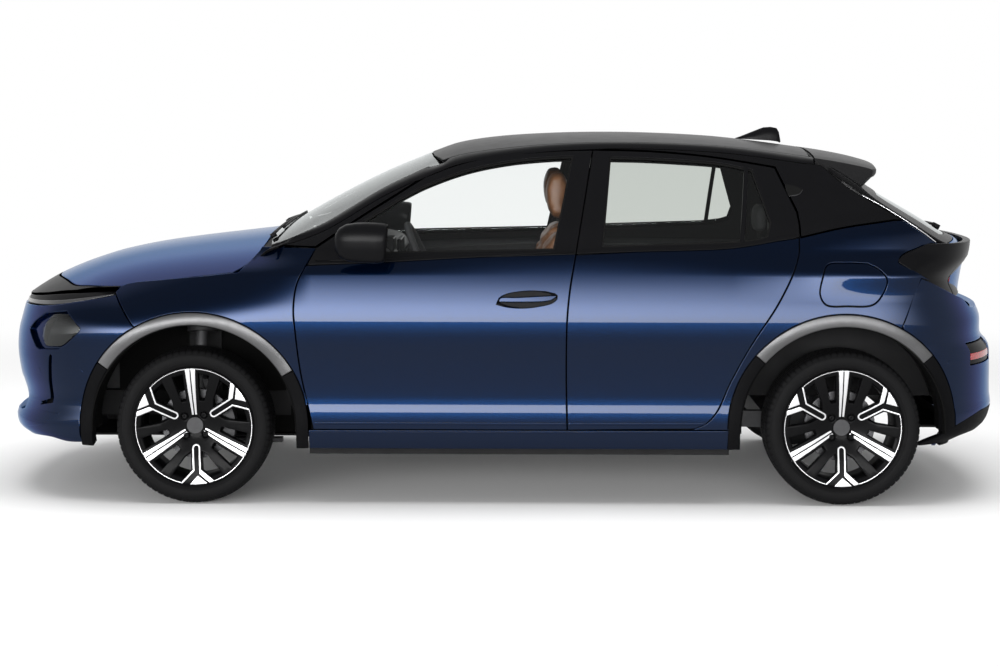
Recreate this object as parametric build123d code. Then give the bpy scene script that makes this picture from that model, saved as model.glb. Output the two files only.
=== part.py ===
"""Five-door hatchback with a hollow cabin, hinged panels, steering and turning wheels.

Millimetres.  +X points to the rear, +Y to the car's right, +Z up.  The origin lies on
the ground under the middle of the car.  Outlines are written for the nominal car and
pass through X(), Y() and Z(), which stretch them to the driving sizes below.
"""
from build123d import *
import math
import os

# ---------------------------------------------------------------- driving sizes
LENGTH = 4080
WIDTH = 1760
HEIGHT = 1450
WHEELBASE = 2540
FRONT_OVERHANG = 835
TRACK = 1500

TYRE_RADIUS = 305
TYRE_WIDTH = 205
RIM_RADIUS = 234
RIM_WIDTH = 196
HUB_BORE = 32
BOLT_CIRCLE = 98
BOLT_HOLE = 14
DISC_RADIUS = 142

SHUT_GAP = 6
DOOR_THICKNESS = 100
FRAME_THICKNESS = 46
DOOR_FLAP = 12
GLASS_THICKNESS = 5
GLASS_INSET = 14
PANEL_THICKNESS = 40
FENDER_THICKNESS = 16
RING_THICKNESS = 60
ROOF_THICKNESS = 26
ARCH_RADIUS = 402
ARCH_TRIM = 50
ARCH_STEP = 5
SEAT_GAP = 0.3
TOW_HOLE_RADIUS = 9
TOW_HOLE_DEPTH = 60
TOW_COVER_RADIUS = 17
TOW_PLACE = (240, 517)

# ---------------------------------------------------------------- nominal frame
NOMINAL_FRONT_AXLE = -1205
NOMINAL_REAR_AXLE = 1335
NOMINAL_HALF_LENGTH = 2040
NOMINAL_HALF_WIDTH = 880
NOMINAL_HEIGHT = 1450

FRONT_AXLE = FRONT_OVERHANG - LENGTH / 2
REAR_AXLE = FRONT_AXLE + WHEELBASE
HALF_TRACK = TRACK / 2


def X(x):
    """Stretch a nominal station to the real overhangs and wheelbase."""
    if x < NOMINAL_FRONT_AXLE:
        share = (x - NOMINAL_FRONT_AXLE) / (NOMINAL_HALF_LENGTH + NOMINAL_FRONT_AXLE)
        return FRONT_AXLE + share * FRONT_OVERHANG
    if x > NOMINAL_REAR_AXLE:
        share = (x - NOMINAL_REAR_AXLE) / (NOMINAL_HALF_LENGTH - NOMINAL_REAR_AXLE)
        return REAR_AXLE + share * (LENGTH / 2 - REAR_AXLE)
    share = (x - NOMINAL_FRONT_AXLE) / (NOMINAL_REAR_AXLE - NOMINAL_FRONT_AXLE)
    return FRONT_AXLE + share * WHEELBASE


def Y(y):
    return y * WIDTH / 2 / NOMINAL_HALF_WIDTH


def Z(z):
    return z * HEIGHT / NOMINAL_HEIGHT


# ---------------------------------------------------------------- smooth functions
def clamp(value, low=0.0, high=1.0):
    return max(low, min(high, value))


def ease(value):
    value = clamp(value)
    return value * value * (3 - 2 * value)


def curve(*knots):
    """A smooth function of one variable through (t, value) knots."""
    slopes = []
    for i, (t, v) in enumerate(knots):
        t0, v0 = knots[max(i - 1, 0)]
        t1, v1 = knots[min(i + 1, len(knots) - 1)]
        slopes.append((v1 - v0) / (t1 - t0))

    def value(t):
        t = clamp(t, knots[0][0], knots[-1][0])
        i = 0
        while i < len(knots) - 2 and t > knots[i + 1][0]:
            i += 1
        (t0, v0), (t1, v1) = knots[i], knots[i + 1]
        step = t1 - t0
        u = (t - t0) / step
        return (v0 * (1 + 2 * u) * (1 - u) ** 2 + slopes[i] * step * u * (1 - u) ** 2
                + v1 * u * u * (3 - 2 * u) + slopes[i + 1] * step * u * u * (u - 1))

    return value


# ---------------------------------------------------------------- body surfaces
# Half width of the car amidships at each height: sill, door, shoulder, glass, roof rail.
section = curve((150, 822), (230, 850), (320, 864), (430, 859), (550, 864), (650, 873), (720, 873),
                (800, 866), (900, 849), (960, 832), (1010, 810), (1100, 775), (1250, 702),
                (1380, 622), (1450, 560))
NOSE_START = -1250          # the sides begin to turn in towards the nose here
TAIL_START = 1400           # and towards the tail here
nose_tip = curve((150, -1830), (204, -1930), (245, -2018), (278, -2040), (318, -2030), (380, -1996),
                 (476, -2018), (560, -2028), (640, -2022), (700, -2006), (760, -1990), (860, -1960),
                 (1000, -1900))
tail_tip = curve((150, 1850), (239, 1905), (275, 2000), (350, 2040), (400, 2034), (542, 2028),
                 (600, 2020), (640, 1985), (718, 1978), (770, 1955), (830, 1930), (900, 1935),
                 (1000, 1960), (1100, 1960))
CORNER_SHARPNESS = 3.0
CORNER_FULLNESS = 2.5
bonnet_line = curve((-1800, 790), (-1482, 853), (-1326, 876), (-1171, 891), (-1055, 903),
                    (-764, 938))
shoulder_roll = curve((-1800, 150), (-1482, 112), (-1055, 56), (-800, 12), (-740, 0))
ROLL_HEIGHT = 190
ROLL_POWER = 2.2
haunch = curve((900, 0), (1160, 30), (1330, 78), (1530, 112), (1700, 112))
cabin_plan = curve((-950, 0.905), (-700, 0.95), (-400, 0.983), (0, 1.0), (600, 1.0), (1000, 0.987),
                   (1350, 0.955), (1700, 0.90), (1900, 0.85))


def corner(share):
    """How far the side keeps its width on the way round a corner, from 1 to 0."""
    return (1 - clamp(share) ** CORNER_SHARPNESS) ** (1 / CORNER_FULLNESS)


def half_width(x, z):
    """Half width of the outer skin at station x and height z."""
    rise = ease((z - 900) / 100)
    width = section(z - haunch(x) * ease((z - 800) / 150) * (1 - ease((z - 1050) / 200)))
    width *= 1 + rise * (cabin_plan(x) - 1)
    line = bonnet_line(x)
    if x < -740:
        share = clamp((z - line + ROLL_HEIGHT) / ROLL_HEIGHT, 0, 1.25)
        width -= shoulder_roll(x) * share ** ROLL_POWER * (1 - ease((x + 1000) / 300) * rise)
    if x < NOSE_START:
        width *= corner((NOSE_START - x) / (NOSE_START - nose_tip(z)))
    if x > TAIL_START:
        width *= corner((x - TAIL_START) / (tail_tip(z) - TAIL_START))
    return width


# Height of the bonnet, windscreen, roof and rear glass along the middle of the car.
bonnet_height = curve((-2040, 735), (-1998, 772), (-1892, 841), (-1794, 887), (-1698, 922),
                      (-1613, 947), (-1468, 977), (-1296, 1002), (-1112, 1024), (-938, 1044),
                      (-850, 1052))
screen_height = curve((-1000, 1010), (-938, 1044), (-708, 1175), (-502, 1280), (-297, 1366))
roof_height = curve((-297, 1366), (-184, 1405), (-14, 1431), (198, 1445), (411, 1450), (623, 1447),
                    (836, 1437), (980, 1424), (1223, 1393), (1330, 1376))
bonnet_drop = curve((-2040, 125), (-1482, 110), (-1055, 95), (-850, 88))
upper_drop = curve((-1000, 46), (-909, 47), (-800, 66), (-674, 82), (-439, 70), (-224, 70), (0, 68),
                   (200, 60), (457, 56), (1000, 54), (1500, 60))
CROWN_WIDTH = 700
CROWN_POWER = 2.3


def bulge(y):
    return (abs(y) / CROWN_WIDTH) ** CROWN_POWER


def bonnet(x, y):
    return bonnet_height(x) - bonnet_drop(x) * bulge(y)


def screen(x, y):
    return screen_height(x) - upper_drop(x) * bulge(y)


def roof(x, y):
    return roof_height(x) - upper_drop(x) * bulge(y)


# ---------------------------------------------------------------- solids from surfaces
def grid_face(rows):
    points = [[Vector(*point) for point in row] for row in rows]
    return Face.make_surface_from_array_of_points(points, tol=0.3, min_deg=3, max_deg=3)


def steps(low, high, pitch):
    count = max(4, round((high - low) / pitch))
    return [low + (high - low) * i / count for i in range(count + 1)]


def stations(low, high, pitch):
    """Whole multiples of the pitch that cover a span, so that neighbouring pieces share them."""
    first, last = math.floor(low / pitch), math.ceil(high / pitch)
    return [i * pitch for i in range(first, last + 1)]


def side_slab(low, high, inset, thickness):
    """A layer of the left side between two (x, z) corners, inset from the skin."""
    rows = [[(X(x), -Y(half_width(x, z)) + inset, Z(z)) for z in stations(low[1], high[1], 45)]
            for x in stations(low[0], high[0], 90)]
    return Solid.extrude(grid_face(rows), Vector(0, thickness, 0))


def top_slab(surface, low, high, inset, thickness, margin=820):
    """A layer below a top surface between two stations."""
    rows = [[(X(x), Y(y), Z(surface(x, y)) - inset) for y in stations(-margin, margin, 90)]
            for x in stations(low, high, 60)]
    return Solid.extrude(grid_face(rows), Vector(0, 0, -thickness))


def slab_between(outer, inner):
    """A closed layer between two grids of points with the same rows and columns."""
    faces = [grid_face(outer), grid_face(inner)]
    inner_edges = faces[1].edges()
    for edge in faces[0].edges():
        partner = min(inner_edges, key=lambda other: (other @ 0.5 - edge @ 0.5).length)
        faces.append(Face.make_surface_from_curves(edge, partner))
    return Solid(Shell(faces))


def outline(*runs):
    """A closed wire in the XZ plane from (x, z) runs: two points are straight, more are smooth."""
    edges = []
    for i, run in enumerate(runs):
        points = [Vector(X(x), 0, Z(z)) for x, z in run]
        following = runs[(i + 1) % len(runs)][0]
        next_point = Vector(X(following[0]), 0, Z(following[1]))
        if len(points) == 2:
            edges.append(Edge.make_line(*points))
        elif len(points) > 2:
            edges.append(Edge.make_spline(points))
        if (points[-1] - next_point).length > 0.001:
            edges.append(Edge.make_line(points[-1], next_point))
    return Wire(edges)


def grown(wire, distance):
    """The outline moved out by a distance (or in, if negative), as plain lines, arcs and splines."""
    edges = []
    for edge in wire.offset_2d(distance).edges():
        if edge.geom_type == GeomType.LINE:
            edges.append(Edge.make_line(edge @ 0, edge @ 1))
        elif edge.geom_type == GeomType.CIRCLE:
            edges.append(Edge.make_three_point_arc(edge @ 0, edge @ 0.5, edge @ 1))
        else:
            count = max(6, round(edge.length / 70))
            edges.append(Edge.make_spline([edge @ (i / count) for i in range(count + 1)]))
    return Wire(edges)


def side_prism(wire, near=-1000, far=-150):
    """The outline pushed through the left side of the car, from one y to another."""
    return Solid.extrude(Face(wire.translate(Vector(0, Y(near), 0))), Vector(0, Y(far) - Y(near), 0))


def plan_prism(*runs, low=100, high=1600):
    """A closed outline of (x, y) runs pushed up from one height to another."""
    edges = []
    for i, run in enumerate(runs):
        points = [Vector(X(x), Y(y), Z(low)) for x, y in run]
        following = runs[(i + 1) % len(runs)][0]
        next_point = Vector(X(following[0]), Y(following[1]), Z(low))
        if len(points) == 2:
            edges.append(Edge.make_line(*points))
        elif len(points) > 2:
            edges.append(Edge.make_spline(points))
        if (points[-1] - next_point).length > 0.001:
            edges.append(Edge.make_line(points[-1], next_point))
    return Solid.extrude(Face(Wire(edges)), Vector(0, 0, Z(high) - Z(low)))


def block(low, high):
    """A box between two nominal corners."""
    size = [b - a for a, b in zip((X(low[0]), Y(low[1]), Z(low[2])), (X(high[0]), Y(high[1]), Z(high[2])))]
    box = Box(*size, align=(Align.MIN, Align.MIN, Align.MIN))
    return Pos(X(low[0]), Y(low[1]), Z(low[2])) * box


def rod(start, end, radius):
    """A round bar between two real points."""
    a, b = Vector(*start), Vector(*end)
    plane = Plane(origin=a, z_dir=(b - a).normalized())
    return plane * Cylinder(radius, (b - a).length, align=(Align.CENTER, Align.CENTER, Align.MIN))


def cross_rod(point, near, far, radius):
    """A round bar across the car at a nominal (x, z), between two y values."""
    return rod((X(point[0]), near, Z(point[1])), (X(point[0]), far, Z(point[1])), radius)


def wheel_drum(x, radius, near, far):
    """A cylinder across the car about an axle, between two real y values."""
    return rod((x, near, TYRE_RADIUS), (x, far, TYRE_RADIUS), radius)


def arch_prism(axle, radius, near=-900, far=-480, foot=140):
    """The U-shaped space round a wheel: a half round above the axle and straight legs below."""
    legs = Box(2 * radius, Y(far) - Y(near), TYRE_RADIUS - foot, align=(Align.CENTER, Align.MIN, Align.MAX))
    return wheel_drum(axle, radius, Y(near), Y(far)) + Pos(axle, Y(near), TYRE_RADIUS) * legs


def mirrored(shape):
    return mirror(shape, about=Plane.XZ)


def solids_of(*shapes):
    """All solids of the shapes as one compound."""
    found = []
    for shape in shapes:
        found.extend(shape.solids())
    return Compound(children=found)


def save(name, *shapes):
    found = []
    for shape in shapes:
        found.extend(shape.solids())
    export_step(found[0] if len(found) == 1 else Compound(children=found), f"parts/{name}.step")


# ---------------------------------------------------------------- outlines of the side
FRONT_DOOR_FRONT = ((-735, 300), (-755, 389), (-783, 526), (-800, 668), (-808, 772), (-796, 868),
                    (-764, 936))
DOOR_SPLIT = ((257, 301), (252, 521), (254, 723), (265, 849), (287, 981))
PILLAR_FOOT = (-725, 1006)
FRAME_FRONT = (PILLAR_FOOT, (-560, 1118), (-407, 1214), (-304, 1278))
FRAME_TOP_FRONT = ((-304, 1278), (-197, 1319), (-89, 1348), (19, 1365), (128, 1375), (236, 1382),
                   (357, 1385))
FRAME_TOP_REAR = ((357, 1385), (585, 1379), (806, 1360), (988, 1333), (1076, 1318))
REAR_DOOR_BACK = ((1154, 1148), (1162, 1094), (1158, 1030), (1156, 991), (1125, 902), (1067, 788),
                  (972, 640), (892, 489), (842, 377), (800, 328), (760, 309))

front_door_line = outline(FRONT_DOOR_FRONT, FRAME_FRONT, FRAME_TOP_FRONT,
                          ((357, 1385), (287, 981)), tuple(reversed(DOOR_SPLIT)))
rear_door_line = outline(DOOR_SPLIT, ((287, 981), (357, 1385)), FRAME_TOP_REAR,
                         ((1076, 1318), (1154, 1148)), REAR_DOOR_BACK)
front_glass_line = outline(((204, 1000), (280, 1361)),
                           ((280, 1361), (182, 1357), (20, 1340), (-143, 1305), (-304, 1245),
                            (-409, 1190)),
                           ((-409, 1190), (-600, 1072)), ((-612, 1040), (-600, 992)))
rear_glass_line = outline(((1036, 1050), (1052, 1104)), ((1052, 1104), (985, 1310)),
                          ((985, 1310), (860, 1335), (695, 1348), (560, 1355), (424, 1358)),
                          ((424, 1358), (389, 1006)), ((915, 1027), (1000, 1036)))
flap_line = outline(((1351, 958), (1245, 893), (1234, 825), (1262, 790), (1340, 785), (1418, 788),
                     (1468, 812), (1495, 890), (1440, 945), (1351, 958)))
corner_lamp_line = outline(((1684, 1024), (1540, 964)), ((1600, 924), (1666, 882), (1774, 828)),
                           ((1833, 806), (2000, 850)), ((2000, 1010), (1684, 1024)))


# ---------------------------------------------------------------- doors
FRONT_HINGE_X = -690
REAR_HINGE_X = 310
DOOR_HINGE_Y = 852
BELT = 960


def door(line, hinge_x, back_x, glass_line, box_line):
    """A hollow-framed door: thin leading flap, thick lower box and a window frame."""
    low, high = (-860, 240), (1230, 1430)
    skin_line = grown(line, -SHUT_GAP / 2)
    region = side_prism(skin_line)
    frame = side_slab(low, high, 0, FRAME_THICKNESS) & region
    flap_zone = block((-900, -950, 200), (hinge_x, -100, BELT))
    if hinge_x > 0:
        flap_zone = block((0, -950, 200), (hinge_x, -100, BELT))
    frame = frame - (side_slab(low, high, DOOR_FLAP, 300) & flap_zone)
    box = side_slab(low, high, 0, DOOR_THICKNESS) & side_prism(box_line)
    window = side_prism(glass_line)
    body = (frame + box) - window
    glass = side_slab(low, high, GLASS_INSET, GLASS_THICKNESS) & side_prism(
        grown(glass_line, -SEAT_GAP))
    return body, glass


HINGE_HEIGHTS = (585, 770)
HINGE_HALF = 11
DOOR_PIN = 5


def hinge_rod(hinge_x, z, half, radius):
    """An upright rod on a door's hinge axis, centred on one height."""
    foot = (X(hinge_x), -Y(DOOR_HINGE_Y), Z(z) - half)
    return rod(foot, (X(hinge_x), -Y(DOOR_HINGE_Y), Z(z) + half), radius)


def hinged(body, hinge_x):
    """Give a door its two hinge pins, each in its own pocket."""
    for z in HINGE_HEIGHTS:
        pocket = block((hinge_x - 60, -DOOR_HINGE_Y - 8, z - 18), (hinge_x + 20, -700, z + 18))
        body = body - pocket - hinge_rod(hinge_x, z, 18, DOOR_PIN + 6)
        body = body + hinge_rod(hinge_x, z, 24, DOOR_PIN)
    return body


def hinge_arms(hinge_x, post_y):
    """The body's half of the two hinges: an eye on the axis and an arm back to the post."""
    arms = []
    for z in HINGE_HEIGHTS:
        eye = hinge_rod(hinge_x, z, HINGE_HALF, DOOR_PIN + 4)
        start = Vector(X(hinge_x), -Y(DOOR_HINGE_Y), Z(z) - HINGE_HALF)
        end = Vector(X(hinge_x) - 34, -Y(post_y), Z(z) - HINGE_HALF)
        along = (end - start).normalized()
        across = Vector(-along.Y, along.X, 0) * 8
        corners = [start + across, end + across, end - across, start - across]
        base = Face(Wire([Edge.make_line(a, b) for a, b in zip(corners, corners[1:] + corners[:1])]))
        arm = Solid.extrude(base, Vector(0, 0, 2 * HINGE_HALF))
        arms.append((eye + arm) - hinge_rod(hinge_x, z, 40, DOOR_PIN + SEAT_GAP))
    return arms


front_box_line = outline(((FRONT_HINGE_X, 312), (FRONT_HINGE_X, BELT)), ((232, BELT), (225, 312)))
rear_box_line = outline(((REAR_HINGE_X, 325), (REAR_HINGE_X, BELT)),
                        ((1125, BELT), (1090, 880), (1040, 790), (945, 640), (865, 495), (815, 385),
                         (770, 340)),
                        ((770, 340), (REAR_HINGE_X, 325)))
front_door, front_glass = door(front_door_line, FRONT_HINGE_X, 232, front_glass_line, front_box_line)
rear_door, rear_glass = door(rear_door_line, REAR_HINGE_X, 1125, rear_glass_line, rear_box_line)

front_door = hinged(front_door, FRONT_HINGE_X)
rear_door = hinged(rear_door, REAR_HINGE_X)

# ---------------------------------------------------------------- body side
ROOF_EDGE = ((-232, 578), (100, 574), (500, 572), (900, 572), (1220, 566))
SCREEN_EDGE = ((-905, 742), (-700, 706), (-440, 645), (-238, 586))
SCREEN_FOOT = ((-905, -742), (-925, -500), (-938, 0), (-925, 500), (-905, 742))
SCREEN_HEAD = ((-238, 586), (-280, 350), (-297, 0), (-280, -350), (-238, -586))


def flipped(points):
    """The same points on the other side, in reverse order."""
    return tuple((x, -y) for x, y in reversed(points))


roof_plan = plan_prism(tuple((x + SHUT_GAP / 2, y) for x, y in reversed(SCREEN_HEAD)), ROOF_EDGE,
                       flipped(ROOF_EDGE))
screen_plan = plan_prism(SCREEN_FOOT, SCREEN_EDGE, SCREEN_HEAD, flipped(SCREEN_EDGE))


RING_LOW, RING_HIGH = (-980, 200), (1760, 1440)
side_line = outline(((-840, 1011), (-840, 1048)), ((-840, 1048), (-700, 1125), (-440, 1285), (-230, 1400)),
                    ((-230, 1425), (1240, 1425)),
                    ((1240, 1385), (1354, 1252), (1572, 1118), (1712, 1022)),
                    ((1684, 1025), (1538, 964)), ((1600, 925), (1662, 886)),
                    ((1627, 897), (1554, 715)), ((1570, 600), (1570, 219)),
                    ((-734, 219), (-734, 297)), ((-600, 297), (-600, 1006)))
inner_post_front = block((-800, -716, 300), (-705, -640, 985)) + block((-800, -735, 940), (-740, -660, 1060))
inner_post_middle = side_slab((150, 280), (420, 1000), DOOR_THICKNESS + 8, RING_THICKNESS) & side_prism(
    outline(((180, 300), (180, 990)), ((300, 990), (300, 300))))
sill_inner = block((-760, -755, 225), (930, -640, 330))
ring = side_slab(RING_LOW, RING_HIGH, 0, RING_THICKNESS) & side_prism(side_line)
for door_line in (front_door_line, rear_door_line):
    ring = ring - side_prism(grown(door_line, SHUT_GAP / 2))
middle_post = side_slab((150, 900), (420, 1400), FRAME_THICKNESS + SHUT_GAP, 55) & side_prism(
    outline(((190, 960), (330, 960)), ((395, 1400), (262, 1400))))
roof_room = Pos(0, -2 * SEAT_GAP, 0) * roof_plan + block((-320, -640, 900), (-200, 640, 1500)) + block(
    (1200, -640, 900), (1400, 640, 1500))
roof_cut = top_slab(roof, -320, 1330, ROOF_THICKNESS + SEAT_GAP, -400) & roof_room
roof_cut = roof_cut + top_slab(roof, -320, 1330, SEAT_GAP, -400)
screen_room = Pos(0, -4 * SEAT_GAP, 0) * screen_plan
screen_cut = top_slab(screen, -1000, -250, GLASS_THICKNESS + 1 + 2 * SEAT_GAP, -400) & screen_room
screen_cut = screen_cut + top_slab(screen, -1000, -250, SEAT_GAP, -400)
rear_arch = arch_prism(REAR_AXLE, ARCH_RADIUS + ARCH_TRIM + SEAT_GAP)
flap_pocket = side_slab((1150, 740), (1560, 1000), -20, 45) & side_prism(grown(flap_line, SHUT_GAP / 2))
body_side = ring + middle_post + inner_post_middle + sill_inner + inner_post_front
body_side = body_side - roof_cut - screen_cut - rear_arch - flap_pocket
body_side = body_side - side_prism(grown(corner_lamp_line, SEAT_GAP), -900, -560)
for arm in hinge_arms(FRONT_HINGE_X, 715) + hinge_arms(REAR_HINGE_X, 745):
    body_side = body_side + arm
fuel_flap = side_slab((1150, 740), (1560, 1000), 0, 8) & side_prism(flap_line)
flap_boss = side_slab((1200, 820), (1300, 930), 7, 18 - 2 * SEAT_GAP)
flap_boss = flap_boss & block((1250, -950, 840), (1262, -700, 885))
fuel_flap = fuel_flap + flap_boss


# ---------------------------------------------------------------- roof, screen and bonnet
roof_low = top_slab(roof, -330, 1240, 0, ROOF_THICKNESS)
roof_panel = roof_low & roof_plan
windscreen = top_slab(screen, -1000, -200, 0, GLASS_THICKNESS + 1) & screen_plan
fin_base = Z(roof_height(1050)) - 4
fin_plane = Plane.XZ.offset(-9)
fin_outline = Wire([Edge.make_spline([Vector(X(975), 9, fin_base + 6), Vector(X(1030), 9, Z(1452)),
                                      Vector(X(1100), 9, Z(1478)), Vector(X(1155), 9, Z(1470))]),
                    Edge.make_line(Vector(X(1155), 9, Z(1470)), Vector(X(1165), 9, fin_base)),
                    Edge.make_line(Vector(X(1165), 9, fin_base), Vector(X(975), 9, fin_base + 6))])
roof_panel = roof_panel + Solid.extrude(Face(fin_outline), Vector(0, -18, 0))

BONNET_SIDE = ((-1503, 728), (-1326, 757), (-1171, 776), (-1050, 788))
BONNET_NOSE = ((-1503, -728), (-1700, -650), (-1850, -520), (-1950, -320), (-1985, 0), (-1950, 320),
               (-1850, 520), (-1700, 650), (-1503, 728))
BONNET_BACK = ((-1050, 788), (-1012, 745), (-972, 620), (-955, 475), (-952, 0), (-955, -475), (-972, -620),
               (-1012, -745), (-1050, -788))
bonnet_plan = plan_prism(BONNET_NOSE, BONNET_SIDE, BONNET_BACK, flipped(BONNET_SIDE))
bonnet_panel = top_slab(bonnet, -2030, -930, 0, PANEL_THICKNESS) & bonnet_plan
BONNET_HINGE = (-944, 1036)
HINGE_PIN = 3.5
hinge_ears = [cross_rod(BONNET_HINGE, y, y + 10, 5)
              + block((-962, y, 1029), (-944, y + 10, 1034)) for y in (236, 264, -246, -274)]
hinge_pins = [cross_rod(BONNET_HINGE, y, y + 38, HINGE_PIN) for y in (236, -274)]
for piece in hinge_ears + hinge_pins:
    bonnet_panel = bonnet_panel + piece

# ---------------------------------------------------------------- front wings
wing_line = outline(((-1500, 829), (-1482, 855), (-1326, 877), (-1171, 892), (-1055, 904)),
                    ((-1030, 908), (-960, 985)), ((-950, 1004), (-725 - SHUT_GAP, 1003)),
                    tuple(reversed(FRONT_DOOR_FRONT)), ((-735, 219), (-1430, 219)),
                    ((-1430, 700), (-1500, 829)))
front_arch = arch_prism(FRONT_AXLE, ARCH_RADIUS + ARCH_TRIM + SEAT_GAP)
wing = side_slab((-1620, 200), (-700, 1040), 0, FENDER_THICKNESS) & side_prism(wing_line)
wing = wing - side_prism(grown(front_door_line, SHUT_GAP / 2)) - front_arch
bonnet_room = plan_prism(BONNET_NOSE, BONNET_SIDE, ((-1050, 788), (-960, 700)),
                         ((-960, -700), (-1050, -788)), flipped(BONNET_SIDE))
bonnet_room = bonnet_room + Pos(0, SHUT_GAP, 0) * bonnet_room + Pos(0, -SHUT_GAP, 0) * bonnet_room
wing = wing - (top_slab(bonnet, -1560, -930, -80, PANEL_THICKNESS + 86) & bonnet_room)

# ---------------------------------------------------------------- bumpers
def wrap(tip, start, x_sign, heights, inset, wide=True):
    """Grid rows round a car end: one row per plan direction, one column per height."""
    rows = []
    for turn in steps(-90, 90, 9):
        row = []
        for z in heights:
            reach = abs(tip(z) - start) - inset
            side = half_width(start, z) - end_roll(z, x_sign) - inset
            angle = math.radians(turn)
            low, high = 0.0, reach + side
            for _ in range(36):
                r = (low + high) / 2
                level = ((r * math.cos(angle) / reach) ** CORNER_SHARPNESS
                         + (abs(r * math.sin(angle)) / side) ** CORNER_FULLNESS)
                low, high = (r, high) if level < 1 else (low, r)
            row.append((X(start + x_sign * low * math.cos(angle)), Y(low * math.sin(angle)), Z(z)))
        rows.append(row)
    return rows


def end_roll(z, x_sign):
    """How far the top of the front corner rolls in over the lamps."""
    if x_sign > 0:
        return 0
    return 118 * clamp((z - 663) / ROLL_HEIGHT, 0, 1.2) ** ROLL_POWER


def end_shell(tip, start, x_sign, low, high, wall):
    heights = steps(low, high, 42)
    return slab_between(wrap(tip, start, x_sign, heights, 0), wrap(tip, start, x_sign, heights, wall))


BUMPER_WALL = 34
front_shell = end_shell(nose_tip, NOSE_START, -1, 182, 880, BUMPER_WALL)
front_cut = side_prism(outline(((-2200, 100), (-2200, 770)), ((-1985, 770), (-1760, 792)),
                               ((-1503, 822), (-1430, 700)), ((-1430, 100), (-2200, 100))), -1000, 1000)
front_bumper = (front_shell & front_cut) - top_slab(bonnet, -2035, -1380, -60, PANEL_THICKNESS + 66)
front_bumper = front_bumper - front_arch - mirrored(front_arch)
grille_line = outline(((-2100, 700), (-2100, 762)), ((-1900, 757), (-1790, 742)),
                      ((-1790, 730), (-1900, 702)), ((-1900, 702), (-2100, 700)))
lower_intake = block((-2100, -420, 320), (-1900, 420, 455))
grille_zone = side_prism(grille_line, -1000, 1000)
grille_bar = front_bumper & grille_zone
front_bumper = front_bumper - side_prism(grown(grille_line, SEAT_GAP), -1000, 1000) - lower_intake
lamp_line = outline(((-1762, 744), (-1712, 739)), ((-1666, 684), (-1737, 608)), ((-1804, 602), (-1828, 650)),
                    ((-1819, 694), (-1762, 744)))
LAMP_NEAR, LAMP_FAR = -1000, -520
lamp_prism = side_prism(lamp_line, LAMP_NEAR, LAMP_FAR)
head_lamp = end_shell(nose_tip, NOSE_START, -1, 560, 780, BUMPER_WALL) & side_prism(
    grown(lamp_line, -SEAT_GAP), LAMP_NEAR, LAMP_FAR)
front_bumper = front_bumper - lamp_prism - mirrored(lamp_prism)
head_lamps = solids_of(head_lamp, mirrored(head_lamp))

rear_shell = end_shell(tail_tip, TAIL_START, 1, 215, 900, BUMPER_WALL)
rear_line = outline(((1572, 230), (1572, 700)), ((1558, 712), (1630, 892)), ((1664, 881), (1830, 800)),
                    ((1880, 768), (2200, 768)), ((2200, 200), (1572, 230)))
rear_bumper = rear_shell & side_prism(rear_line, -1000, 1000)
rear_bumper = rear_bumper - rear_arch - mirrored(rear_arch)
tail_lamp_line = outline(((1880, 540), (1880, 632)), ((2100, 632), (2100, 540)))
TAIL_LAMP_OUTER, TAIL_LAMP_INNER = -789, -471
tail_lamp = rear_bumper & side_prism(grown(tail_lamp_line, -SEAT_GAP), TAIL_LAMP_OUTER + SEAT_GAP,
                                     TAIL_LAMP_INNER - SEAT_GAP)
tail_lamp_room = side_prism(tail_lamp_line, TAIL_LAMP_OUTER, TAIL_LAMP_INNER)
rear_bumper = rear_bumper - tail_lamp_room - mirrored(tail_lamp_room)


# ---------------------------------------------------------------- arch trims and liners
TRIM_FOOT = 222
LINER_RADIUS = ARCH_RADIUS - SEAT_GAP
LINER_WALL = 5


def arch_trim(axle, low, high):
    ring = arch_prism(axle, ARCH_RADIUS + ARCH_TRIM) - arch_prism(axle, ARCH_RADIUS)
    ring = ring & block((-2000, -950, TRIM_FOOT), (2000, 0, 1000))
    return side_slab(low, high, -ARCH_STEP, PANEL_THICKNESS) & ring


def arch_liner(axle, near, far):
    ring = arch_prism(axle, LINER_RADIUS, near, far) - arch_prism(axle, LINER_RADIUS - LINER_WALL, near, far)
    return ring & block((-2000, -950, 285), (2000, 0, 1000))


front_trim = arch_trim(FRONT_AXLE, (-1690, 190), (-720, 800))
rear_trim = arch_trim(REAR_AXLE, (850, 190), (1810, 800))
arch_trims = solids_of(front_trim, rear_trim, mirrored(front_trim), mirrored(rear_trim))
front_liner = arch_liner(FRONT_AXLE, -843, -655)
rear_liner = arch_liner(REAR_AXLE, -843, -640)

# ---------------------------------------------------------------- tailgate
hatch_x = curve((0, 1236), (1, 1330), (2, 1440), (3, 1537), (4, 1714), (5, 1829), (6, 1900), (7, 1926),
                (8, 1917), (9, 1907), (10, 1903))
hatch_z = curve((0, 1387), (1, 1345), (2, 1284), (3, 1222), (4, 1121), (5, 1050), (6, 1012), (7, 960),
                (8, 890), (9, 825), (10, 778))
hatch_bow = curve((0, 0), (1, 8), (2, 25), (3, 45), (4, 75), (5, 95), (6, 115), (8, 130), (10, 122))
hatch_crown = curve((0, 42), (1, 40), (2, 38), (3, 34), (4, 22), (5, 14), (6, 8), (7, 0), (10, 0))
hatch_half = curve((0, 552), (1, 572), (2, 596), (3, 612), (4, 628), (5, 616), (6, 596), (7, 596),
                   (8, 604), (10, 600))
HATCH_THICKNESS = 42
HATCH_ROWS = 26


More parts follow.
